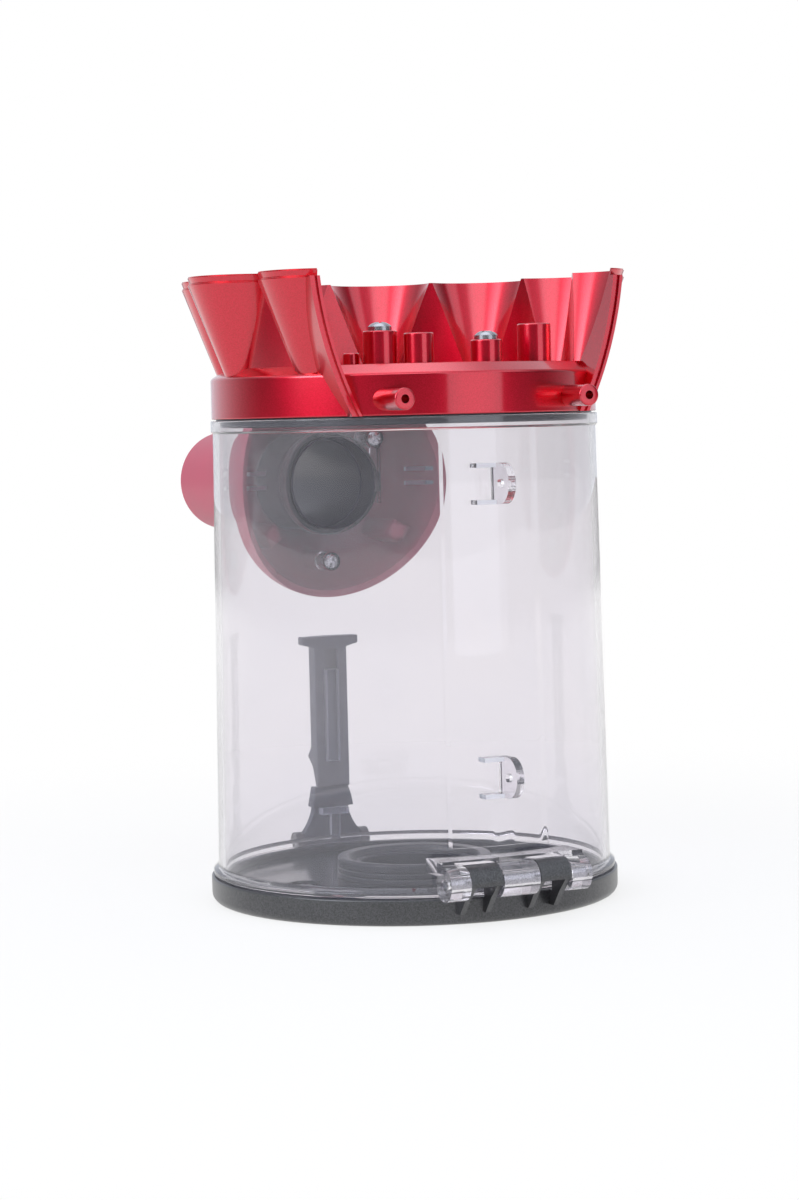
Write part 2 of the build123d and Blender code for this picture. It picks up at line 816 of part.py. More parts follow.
def make_boss(side):
    """Round boss on the rear of the crown's band, with a bevelled end."""
    boss = rod_y(boss_diameter / 2, boss_front, 0, side * boss_spread / 2, boss_z)
    return chamfer(boss.edges().group_by(Axis.Y)[0], post_bevel)


def make_crown_cover():
    """Red crown: band, scalloped wall open at the rear, deck with posts, and two rear bosses."""
    lobe_low = ring_top - ring_round
    crown = crown_ring()
    crown += crown_form(0, lobe_low, crown_top - lip_height)
    crown += crown_form(-lip_inset, lobe_low, crown_top)
    crown += make_fins()
    reach = ring_radius * 2
    opening = front_plate(-reach, 0, opening_edge(0))
    crown -= opening & block(-reach, reach, -reach, 0, deck_top, crown_top + reach)
    for side in (-1, 1):
        crown += make_boss(side)
    skirt_inner = lip_outer() - gasket_lip_thickness - seat_play - skirt_wall
    ring_inner = ring_radius - crown_ring_wall
    under = deck_top - deck_plate
    crown -= turned(
        (0, crown_foot - skirt_depth),
        (skirt_inner, crown_foot - skirt_depth),
        (skirt_inner, crown_foot + skirt_wall),
        (ring_inner, crown_foot + 2 * skirt_wall),
        (ring_inner, ring_top - skirt_wall),
        (ring_radius - web_foot_inset - crown_wall, under),
        (0, under),
    )
    crown -= rod_z(ring_radius - deck_bore_inset, under, deck_top, 0, 0)
    crown -= crown_form(-crown_wall, deck_top, crown_top + crown_wall)
    for angle, diameter, height in screw_posts + open_posts + (stub_post,):
        x, y = post_place(angle)
        crown += make_post(x, y, diameter, height)
    for angle, diameter, height in screw_posts + open_posts:
        x, y = post_place(angle)
        top = deck_top + height
        crown -= rod_z(post_hole_diameter / 2 + pin_play, top - post_hole_depth, top, x, y)
    for side in (-1, 1):
        x = side * boss_spread / 2
        crown -= rod_y(boss_hole_diameter / 2, boss_front, boss_front + boss_hole_depth, x, boss_z)
    return crown


def post_place(angle):
    """X and Y of a post at an angle from the rear."""
    turn = math.radians(angle)
    radius = ring_radius - post_inset
    return radius * math.sin(turn), -radius * math.cos(turn)


def make_crown_screws():
    """Pan-head screws in two of the posts."""
    screws = []
    for angle, diameter, height in screw_posts:
        x, y = post_place(angle)
        seat = deck_top + height
        head = rod_z(crown_screw_head / 2, seat, seat + crown_screw_head_height, x, y)
        head = fillet(head.edges().group_by(Axis.Z)[-1], crown_screw_round)
        screws.append(head + rod_z(post_hole_diameter / 2, seat - crown_screw_length, seat, x, y))
    return screws


os.makedirs("parts", exist_ok=True)
save("base_cover", make_base_cover())
save("base_floor", make_base_floor())
save("rim_seal", make_rim_seal())
save("centre_seal", make_centre_seal())
save("floor_screws", *make_floor_screws())
save("base_catch", make_base_catch())
save("catch_pin", make_catch_pin())
save("release_slider", make_release_slider())
save("bin_shell", make_bin_shell())
save("hinge_pin", make_hinge_pin())
save("inlet_cowl", make_inlet_cowl())
save("inlet_duct", make_inlet_duct())
save("duct_seal", make_duct_seal())
save("cowl_screws", *make_cowl_screws())
save("top_gasket", make_top_gasket())
save("crown_cover", make_crown_cover())
save("crown_screws", *make_crown_screws())
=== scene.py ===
"""Looks of a cyclone dust bin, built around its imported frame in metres."""
import json
import logging
import math
from dataclasses import dataclass
from enum import Enum

import bmesh
import bpy
from mathutils import Matrix, Vector

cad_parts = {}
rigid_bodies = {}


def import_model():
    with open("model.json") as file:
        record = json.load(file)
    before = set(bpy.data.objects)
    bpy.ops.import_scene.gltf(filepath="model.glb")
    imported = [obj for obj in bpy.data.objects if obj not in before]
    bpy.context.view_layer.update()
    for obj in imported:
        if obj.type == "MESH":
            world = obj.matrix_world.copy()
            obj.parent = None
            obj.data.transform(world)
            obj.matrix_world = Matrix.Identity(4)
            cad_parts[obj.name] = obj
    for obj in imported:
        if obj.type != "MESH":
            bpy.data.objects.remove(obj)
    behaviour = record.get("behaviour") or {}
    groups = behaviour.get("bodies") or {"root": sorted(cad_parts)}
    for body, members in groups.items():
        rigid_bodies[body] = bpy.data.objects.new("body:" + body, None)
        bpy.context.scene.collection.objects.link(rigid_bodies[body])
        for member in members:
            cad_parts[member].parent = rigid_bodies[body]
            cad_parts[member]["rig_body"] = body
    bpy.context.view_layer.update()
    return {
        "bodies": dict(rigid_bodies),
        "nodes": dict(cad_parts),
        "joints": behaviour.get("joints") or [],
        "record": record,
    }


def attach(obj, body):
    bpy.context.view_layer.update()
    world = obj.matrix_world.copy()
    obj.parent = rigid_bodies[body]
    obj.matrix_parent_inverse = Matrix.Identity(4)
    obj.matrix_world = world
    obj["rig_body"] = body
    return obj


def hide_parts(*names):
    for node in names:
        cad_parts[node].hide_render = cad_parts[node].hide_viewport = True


MM = 0.001
WHITE = "#ffffff"
SHARP_ANGLE = math.radians(28.0)  # faces that turn more than this meet in a crisp edge
FLAT_ANGLE = math.radians(0.4)  # faces that turn less than this lie in one plane
MERGE_MM = 0.002  # points closer than this are one point
PAST = 1.0  # how far a cutting tool reaches past what it cuts, in millimetres
BEVEL_STEPS = 3  # straight runs in a rounded edge of a copied moulding
TURN_STEPS = 240  # straight runs in the turn of a ring
WALL_STEPS = 720  # the same in the clear wall, whose gloss would show each run
TUBE_STEPS = 96  # the same in the inlet's spigot
ROD_STEPS = 56  # the same in pins, barrels and bores

Point = tuple[float, float]
Corner = tuple[float, float, float]

log = logging.getLogger("dust_bin")


class Ray(Enum):
    """Light Path outputs that the studio tells apart."""

    CAMERA = "Is Camera Ray"
    SHADOW = "Is Shadow Ray"
    GLOSSY = "Is Glossy Ray"
    TRANSMISSION = "Is Transmission Ray"
    SCATTERED = "Diffuse Depth"


class Along(Enum):
    """Axis that a plate or rod runs along: the order in which (u, v, along) become x, y and z."""

    X = (2, 0, 1)
    Y = (0, 2, 1)
    Z = (0, 1, 2)

    def place(self, u: float, v: float, w: float) -> Corner:
        """Return the point (u, v) across the axis, w along it, as x, y and z."""
        spot = (u, v, w)
        return (spot[self.value[0]], spot[self.value[1]], spot[self.value[2]])


class Cut(Enum):
    """What a tool does to the piece that it meets."""

    JOIN = "UNION"
    REMOVE = "DIFFERENCE"


def linear(hex_colour: str) -> tuple[float, float, float, float]:
    """Turn an sRGB hex colour into linear RGBA.

    Args:
        hex_colour: six hex digits with a leading hash.

    Returns:
        Linear red, green, blue and an alpha of one.
    """
    channels = [int(hex_colour[i:i + 2], 16) / 255 for i in (1, 3, 5)]
    curve = [c / 12.92 if c <= 0.04045 else ((c + 0.055) / 1.055) ** 2.4 for c in channels]
    return (curve[0], curve[1], curve[2], 1.0)


def add_node(tree: bpy.types.NodeTree, kind: str, inputs: dict | None = None, **settings: object) -> bpy.types.Node:
    """Add one node with its settings, and set or link its inputs.

    Args:
        tree: the tree that gets the node.
        kind: the node's type name.
        inputs: input name or index to a value, an output socket that feeds it, or a list of such sockets.
        **settings: attributes of the node itself.

    Returns:
        The new node.
    """
    node = tree.nodes.new(kind)
    for name, value in settings.items():
        setattr(node, name, value)
    for key, value in (inputs or {}).items():
        feeds = value if isinstance(value, list) else [value]
        for feed in feeds:
            if isinstance(feed, bpy.types.NodeSocket):
                tree.links.new(feed, node.inputs[key])
            else:
                node.inputs[key].default_value = feed
    return node


def new_material(name: str) -> tuple[bpy.types.Material, bpy.types.NodeTree, bpy.types.Node]:
    """Make an empty node material.

    Args:
        name: the material's name.

    Returns:
        The material, its tree and its output node.
    """
    material = bpy.data.materials.new(name)
    material.use_nodes = True
    material.node_tree.nodes.clear()
    output = add_node(material.node_tree, "ShaderNodeOutputMaterial")
    return material, material.node_tree, output


@dataclass(frozen=True)
class MetallicLacquer:
    """Sprayed metallic lacquer on ABS: fine flake under a clear gloss coat, so edges flash and hollows go deep.

    Real flake is about 0.03 mm across, too fine to show in the render, so it is drawn up to ten times as coarse. The
    spray's orange peel and the clouds in its gloss have their real size.
    """

    name: str
    colour: str
    flake_colour: str
    flake_mm: float
    metallic: float
    roughness: float
    coat: float
    coat_roughness: float
    peel: float
    coat_ior: float = 1.5
    roughness_range: Point = (0.88, 1.12)
    cloud_mm: float = 9.0
    peel_mm: float = 2.4
    peel_depth_mm: float = 0.02

    def build(self) -> bpy.types.Material:
        """Make the lacquer.

        Returns:
            The node material.
        """
        material, tree, output = new_material(self.name)
        place = add_node(tree, "ShaderNodeTexCoord").outputs["Object"]
        flake = add_node(tree, "ShaderNodeTexVoronoi", {"Vector": place, "Scale": 1 / (self.flake_mm * MM)})
        cloud = add_node(tree, "ShaderNodeTexNoise", {"Vector": place, "Scale": 1 / (self.cloud_mm * MM),
                                                      "Detail": 3.0})
        mix = add_node(tree, "ShaderNodeMix", {"Factor": flake.outputs["Color"], "A": linear(self.colour),
                                               "B": linear(self.flake_colour)}, data_type="RGBA")
        low, high = self.roughness_range
        rough = add_node(tree, "ShaderNodeMapRange", {"Value": cloud.outputs["Fac"], "To Min": self.roughness * low,
                                                      "To Max": self.roughness * high})
        wave = add_node(tree, "ShaderNodeTexNoise", {"Vector": place, "Scale": 1 / (self.peel_mm * MM), "Detail": 1.0})
        bump = add_node(tree, "ShaderNodeBump", {"Height": wave.outputs["Fac"], "Strength": self.peel,
                                                 "Distance": self.peel_depth_mm * MM})
        shader = add_node(tree, "ShaderNodeBsdfPrincipled", {
            "Base Color": mix.outputs["Result"], "Metallic": self.metallic, "Roughness": rough.outputs["Result"],
            "Coat Weight": self.coat, "Coat Roughness": self.coat_roughness, "Coat IOR": self.coat_ior,
            "Normal": bump.outputs["Normal"], "Coat Normal": bump.outputs["Normal"]})
        tree.links.new(shader.outputs["BSDF"], output.inputs["Surface"])
        return material


@dataclass(frozen=True)
class MouldedPlastic:
    """Moulded ABS, nylon or rubber: one body colour with faint flow clouds and a fine spark-eroded skin.

    The real skin's grain is about 0.1 mm, too fine to show in the render, so it is drawn at about half a millimetre.
    """

    name: str
    colour: str
    cloud_colour: str
    roughness: float
    grain_mm: float
    grain: float
    specular: float = 0.5
    roughness_range: Point = (0.85, 1.15)
    cloud_mm: float = 14.0
    grain_depth_mm: float = 0.03

    def build(self) -> bpy.types.Material:
        """Make the plastic.

        Returns:
            The node material.
        """
        material, tree, output = new_material(self.name)
        place = add_node(tree, "ShaderNodeTexCoord").outputs["Object"]
        cloud = add_node(tree, "ShaderNodeTexNoise", {"Vector": place, "Scale": 1 / (self.cloud_mm * MM),
                                                      "Detail": 4.0})
        mix = add_node(tree, "ShaderNodeMix", {"Factor": cloud.outputs["Fac"], "A": linear(self.colour),
                                               "B": linear(self.cloud_colour)}, data_type="RGBA")
        low, high = self.roughness_range
        rough = add_node(tree, "ShaderNodeMapRange", {"Value": cloud.outputs["Fac"], "To Min": self.roughness * low,
                                                      "To Max": self.roughness * high})
        skin = add_node(tree, "ShaderNodeTexNoise", {"Vector": place, "Scale": 1 / (self.grain_mm * MM), "Detail": 2.0})
        bump = add_node(tree, "ShaderNodeBump", {"Height": skin.outputs["Fac"], "Strength": self.grain,
                                                 "Distance": self.grain_depth_mm * MM})
        shader = add_node(tree, "ShaderNodeBsdfPrincipled", {
            "Base Color": mix.outputs["Result"], "Roughness": rough.outputs["Result"],
            "Specular IOR Level": self.specular, "Normal": bump.outputs["Normal"]})
        tree.links.new(shader.outputs["BSDF"], output.inputs["Surface"])
        return material


@dataclass(frozen=True)
class ClearPolycarbonate:
    """Clear moulded polycarbonate: bright edges, and a faint lavender haze that veils what lies behind the wall."""

    name: str
    tint: str
    flow_tint: str
    shade_tint: str
    clearness: float
    roughness: float
    ior: float
    flow_mm: float = 30.0
    flow: float = 0.02
    flow_depth_mm: float = 0.03

    def build(self) -> bpy.types.Material:
        """Make the clear plastic, which lets the lamps' light through.

        Returns:
            The node material.
        """
        material, tree, output = new_material(self.name)
        place = add_node(tree, "ShaderNodeTexCoord").outputs["Object"]
        flow = add_node(tree, "ShaderNodeTexNoise", {"Vector": place, "Scale": 1 / (self.flow_mm * MM), "Detail": 1.0})
        tint = add_node(tree, "ShaderNodeMix", {"Factor": flow.outputs["Fac"], "A": linear(self.tint),
                                                "B": linear(self.flow_tint)}, data_type="RGBA")
        bump = add_node(tree, "ShaderNodeBump", {"Height": flow.outputs["Fac"], "Strength": self.flow,
                                                 "Distance": self.flow_depth_mm * MM})
        shader = add_node(tree, "ShaderNodeBsdfPrincipled", {
            "Base Color": tint.outputs["Result"], "Roughness": self.roughness, "IOR": self.ior,
            "Transmission Weight": self.clearness, "Normal": bump.outputs["Normal"]})
        lamp = add_node(tree, "ShaderNodeBsdfTransparent", {"Color": linear(self.shade_tint)})
        path = add_node(tree, "ShaderNodeLightPath")
        mix = add_node(tree, "ShaderNodeMixShader", {0: path.outputs[Ray.SHADOW.value], 1: shader.outputs["BSDF"],
                                                     2: lamp.outputs["BSDF"]})
        tree.links.new(mix.outputs["Shader"], output.inputs["Surface"])
        return material


@dataclass(frozen=True)
class PlatedSteel:
    """Plated steel: mirror-like with fine turning marks that stretch each highlight.

    Real marks are about 0.1 mm apart, too fine to show in the render, so they are drawn four times as coarse.
    """

    name: str
    colour: str
    roughness: float
    mark_mm: float
    roughness_range: Point = (0.7, 1.4)
    marking: float = 0.15
    mark_depth_mm: float = 0.02

    def build(self) -> bpy.types.Material:
        """Make the steel.

        Returns:
            The node material.
        """
        material, tree, output = new_material(self.name)
        place = add_node(tree, "ShaderNodeTexCoord").outputs["Object"]
        marks = add_node(tree, "ShaderNodeTexNoise", {"Vector": place, "Scale": 1 / (self.mark_mm * MM), "Detail": 3.0})
        low, high = self.roughness_range
        rough = add_node(tree, "ShaderNodeMapRange", {"Value": marks.outputs["Fac"], "To Min": self.roughness * low,
                                                      "To Max": self.roughness * high})
        bump = add_node(tree, "ShaderNodeBump", {"Height": marks.outputs["Fac"], "Strength": self.marking,
                                                 "Distance": self.mark_depth_mm * MM})
        shader = add_node(tree, "ShaderNodeBsdfPrincipled", {
            "Base Color": linear(self.colour), "Metallic": 1.0, "Roughness": rough.outputs["Result"],
            "Normal": bump.outputs["Normal"]})
        tree.links.new(shader.outputs["BSDF"], output.inputs["Surface"])
        return material


FINISHES: dict[str, MetallicLacquer | MouldedPlastic | ClearPolycarbonate | PlatedSteel] = {
    # deep red that flashes where a lobe turns to the lamps and goes to wine in the niches between the lobes
    "red_metallic": MetallicLacquer(
        "red_metallic_lacquer", "#cc0a25", "#e6183a", flake_mm=0.22, metallic=1.0, roughness=0.34, coat=1.0,
        coat_roughness=0.10, peel=0.15, coat_ior=1.7),
    # iron grey under a thin satin coat: a soft sheen along the base and no mirror image
    "iron_grey_paint": MetallicLacquer(
        "iron_grey_lacquer", "#434344", "#626264", flake_mm=0.30, metallic=0.6, roughness=0.38, coat=0.4,
        coat_roughness=0.22, peel=0.1),
    # satin red, its own colour paler than the crown's; the colour is lifted further as painted sheen, standing in for
    # the white backdrop's reflection along the nose's grazing edges. Most of the nose is seen through the clear wall.
    "red_satin": MouldedPlastic(
        "satin_red_abs", "#b94a5d", "#c45468", roughness=0.42, grain_mm=0.5, grain=0.12, specular=0.7),
    # dark grey with a cool cast and a dull sheen, for what slides and hooks
    "dark_plastic": MouldedPlastic(
        "dark_grey_nylon", "#282d3d", "#313748", roughness=0.32, grain_mm=0.45, grain=0.2),
    # polished floor that mirrors the bin's wall; its skin is only a slow wave of the mould
    "dark_gloss": MouldedPlastic(
        "dark_gloss_abs", "#1b1d24", "#22242c", roughness=0.14, grain_mm=6.0, grain=0.015),
    # soft black with a broad highlight along each lip
    "black_rubber": MouldedPlastic(
        "black_rubber", "#272a32", "#2f323b", roughness=0.34, grain_mm=0.6, grain=0.25),
    # nearly colourless wall: what lies behind it pales, and its edges and corners light up
    "clear_polycarbonate": ClearPolycarbonate(
        "clear_polycarbonate", "#f5f2f4", "#f1eff3", "#f3f2f7", clearness=0.965, roughness=0.012, ior=1.5),
    # bright heads and pins that spark against the red and the grey
    "screw_steel": PlatedSteel("plated_steel", "#b4b5ba", roughness=0.26, mark_mm=0.4),
}
# hazy skin of the small mould inserts: rail, keeper, guides and shelves show as pale shapes in the clear wall
RAIL_FINISH = ClearPolycarbonate(
    "frosted_polycarbonate", "#eceef6", "#e6e9f2", "#dcdae2", clearness=0.72, roughness=0.30, ior=1.5)


def mesh_piece(name: str, points: list[Corner], faces: list[list[int]]) -> bpy.types.Object:
    """Make an object from points in millimetres, with its faces turned outwards.

    Args:
        name: the object's name.
        points: corners in millimetres.
        faces: point numbers of each face, or none for loose points.

    Returns:
        The new object, at the origin.
    """
    mesh = bpy.data.meshes.new(name)
    mesh.from_pydata([Vector(p) * MM for p in points], [], faces)
    if faces:
        shape = bmesh.new()
        shape.from_mesh(mesh)
        bmesh.ops.recalc_face_normals(shape, faces=shape.faces)
        shape.to_mesh(mesh)
        shape.free()
    piece = bpy.data.objects.new(name, mesh)
    bpy.context.scene.collection.objects.link(piece)
    return piece


def rounded(corners: list[Corner], steps: int = 5) -> list[Point]:
    """Round the corners of a closed outline.

    Args:
        corners: (u, v, radius) of each corner, with radius 0 where it stays sharp.
        steps: straight runs in each round.

    Returns:
        The outline's points.
    """
    outline: list[Point] = []
    for index, (u, v, radius) in enumerate(corners):
        here = Vector((u, v))
        if radius == 0:
            outline.append((u, v))
            continue
        back = (Vector(corners[index - 1][:2]) - here).normalized()
        ahead = (Vector(corners[(index + 1) % len(corners)][:2]) - here).normalized()
        half = back.angle(ahead) / 2
        centre = here + (back + ahead).normalized() * radius / math.sin(half)
        first = here + back * radius / math.tan(half) - centre
        last = here + ahead * radius / math.tan(half) - centre
        sweep = first.angle_signed(last)
        for step in range(steps + 1):
            spoke = Matrix.Rotation(-sweep * step / steps, 2) @ first
            outline.append((centre.x + spoke.x, centre.y + spoke.y))
    return outline


def circle(radius: float, u: float, v: float, steps: int = ROD_STEPS) -> list[Point]:
    """Return the points of a circle about (u, v)."""
    turns = [math.tau * step / steps for step in range(steps)]
    return [(u + radius * math.cos(t), v + radius * math.sin(t)) for t in turns]


def rectangle(low_u: float, high_u: float, low_v: float, high_v: float) -> list[Point]:
    """Return the corners of an upright rectangle."""
    return [(low_u, low_v), (high_u, low_v), (high_u, high_v), (low_u, high_v)]


def lathe(name: str, outline: list[Point], along: Along = Along.Z, centre: Point = (0.0, 0.0),
          steps: int = TURN_STEPS) -> bpy.types.Object:
    """Turn a closed outline of (radius, height) points into a ring or a filled round.

    Args:
        name: the object's name.
        outline: points in order; the ends lie on the axis for a filled round.
        along: axis that the outline turns about.
        centre: where the axis crosses the other two axes.
        steps: straight runs in each turn.

    Returns:
        The turned object.
    """
    points: list[Corner] = []
    rings: list[list[int]] = []
    for radius, height in outline:
        spots = [centre] if radius == 0 else circle(radius, centre[0], centre[1], steps)
        rings.append(list(range(len(points), len(points) + len(spots))))
        points.extend(along.place(u, v, height) for u, v in spots)
    faces: list[list[int]] = []
    for low, high in zip(rings, rings[1:] + rings[:1]):
        if len(low) == 1 and len(high) == 1:
            continue
        for step in range(steps):
            after = step + 1
            loop = (low[step % len(low)], low[after % len(low)], high[after % len(high)], high[step % len(high)])
            faces.append(list(dict.fromkeys(loop)))
    return mesh_piece(name, points, faces)


def prism(name: str, outline: list[Point], low: float, high: float, along: Along) -> bpy.types.Object:
    """Make a closed plate or rod of an outline between two places on an axis.

    Args:
        name: the object's name.
        outline: points across the axis, in order.
        low: lower end on the axis.
        high: upper end on the axis.
        along: the axis.

    Returns:
        The new object.
    """
    count = len(outline)
    points = [along.place(u, v, w) for w in (low, high) for u, v in outline]
    faces = [list(range(count)), list(range(count, 2 * count))]
    for step in range(count):
        after = (step + 1) % count
        faces.append([step, after, count + after, count + step])
    return mesh_piece(name, points, faces)


def apply_modifiers(piece: bpy.types.Object) -> bpy.types.Object:
    """Turn a piece and its modifiers into a plain mesh.

    Args:
        piece: the object to settle.

    Returns:
        The same object, without modifiers.
    """
    depsgraph = bpy.context.evaluated_depsgraph_get()
    done = bpy.data.meshes.new_from_object(piece.evaluated_get(depsgraph), depsgraph=depsgraph)
    piece.modifiers.clear()
    old = piece.data
    piece.data = done
    bpy.data.meshes.remove(old)
    done.name = piece.name
    return piece


def carve(piece: bpy.types.Object, steps: list[tuple[Cut, bpy.types.Object]]) -> bpy.types.Object:
    """Join tools to a piece or cut them out of it, in order, and throw the tools away.

    Args:
        piece: the closed mesh to work on.
        steps: what to do with each closed tool.

    Returns:
        The same object.
    """
    for cut, tool in steps:
        work = piece.modifiers.new(tool.name, "BOOLEAN")
        work.operation = cut.value
        work.solver = "MANIFOLD"
        work.object = tool
    apply_modifiers(piece)
    for _, tool in steps:
        spent = tool.data
        bpy.data.objects.remove(tool)
        bpy.data.meshes.remove(spent)
    return piece


def merge_points(piece: bpy.types.Object, flatten: bool = False) -> None:
    """Merge the points of a mesh that lie on each other.

    Args:
        piece: a mesh object.
        flatten: whether the triangles of each flat side become one face, too.
    """
    shape = bmesh.new()
    shape.from_mesh(piece.data)
    bmesh.ops.remove_doubles(shape, verts=shape.verts, dist=MERGE_MM * MM)
    if flatten:
        bmesh.ops.dissolve_limit(shape, angle_limit=FLAT_ANGLE, verts=shape.verts, edges=shape.edges)
    shape.to_mesh(piece.data)
    shape.free()


def finish_normals(piece: bpy.types.Object) -> bpy.types.Object:
    """Merge a piece's points and shade it smooth, with crisp edges and normals weighted by face area.

    Args:
        piece: a mesh object without modifiers.

    Returns:
        The same object.
    """
    merge_points(piece)
    piece.data.shade_smooth()
    piece.data.set_sharp_from_angle(angle=SHARP_ANGLE)
    weighted = piece.modifiers.new("weighted", "WEIGHTED_NORMAL")
    weighted.mode = "FACE_AREA_WITH_ANGLE"
    weighted.keep_sharp = True
    return apply_modifiers(piece)


def soften(piece: bpy.types.Object, width_mm: float) -> bpy.types.Object:
    """Round the edges of a flat-sided moulding.

    Args:
        piece: a mesh object.
        width_mm: width of each round.

    Returns:
        The same object.
    """
    merge_points(piece, flatten=True)
    bevel = piece.modifiers.new("edges", "BEVEL")
    bevel.width = width_mm * MM
    bevel.segments = BEVEL_STEPS
    bevel.limit_method = "ANGLE"
    bevel.angle_limit = SHARP_ANGLE
    return apply_modifiers(piece)


def new_tree(name: str, sockets: dict[str, str]) -> tuple[bpy.types.NodeTree, bpy.types.Node]:
    """Start a geometry tree with named inputs and one geometry output.

    Args:
        name: the tree's name.
        sockets: input name to its socket type.

    Returns:
        The tree and its input node.
    """
    tree = bpy.data.node_groups.new(name, "GeometryNodeTree")
    for label, kind in sockets.items():
        tree.interface.new_socket(label, in_out="INPUT", socket_type=kind)
    tree.interface.new_socket("Geometry", in_out="OUTPUT", socket_type="NodeSocketGeometry")
    return tree, add_node(tree, "NodeGroupInput")


def grow_tree(piece: bpy.types.Object, tree: bpy.types.NodeTree, values: dict[str, object]) -> bpy.types.Object:
    """Run a geometry tree on a piece and keep the result as a plain mesh.

    Args:
        piece: the object that carries the tree.
        tree: the geometry tree.
        values: input name to value.

    Returns:
        The same object.
    """
    work = piece.modifiers.new(tree.name, "NODES")
    work.node_group = tree
    for socket in tree.interface.items_tree:
        if socket.in_out == "INPUT" and socket.name in values:
            work[socket.identifier] = values[socket.name]
    return apply_modifiers(piece)


class Workshop:
    """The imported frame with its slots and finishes, and the calls that hand a piece in."""

    def __init__(self, frame: dict) -> None:
        """Read the slots from the frame's record and build every finish.
        """
        self.nodes: dict[str, bpy.types.Object] = frame["nodes"]
        self.slots: dict[str, str] = {row["node"]: row["material_slot"] for row in frame["record"]["subparts"]}
        self.materials = {slot: finish.build() for slot, finish in FINISHES.items()}

    def material(self, node: str) -> bpy.types.Material:
        """Return the finish of a node's slot."""
        return self.materials[self.slots[node]]

    def copy(self, node: str) -> bpy.types.Object:
        """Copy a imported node.

        Args:
            node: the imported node.

        Returns:
            The copy, at the origin. Its triangles are loose until it is softened or finished.
        """
        mesh = self.nodes[node].data.copy()
        piece = bpy.data.objects.new(f"{node}_piece", mesh)
        bpy.context.scene.collection.objects.link(piece)
        return piece

    def hand_in(self, piece: bpy.types.Object, node: str) -> None:
        """Dress a finished piece, and let it stand for its node.

        Args:
            piece: the new piece.
            node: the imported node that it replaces.
        """
        finish_normals(piece)
        piece.data.materials.clear()
        piece.data.materials.append(self.material(node))
        body = self.nodes[node]["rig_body"]
        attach(piece, body)
        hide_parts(node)
        log.info("%s rides on %s, %d faces", piece.name, body, len(piece.data.polygons))


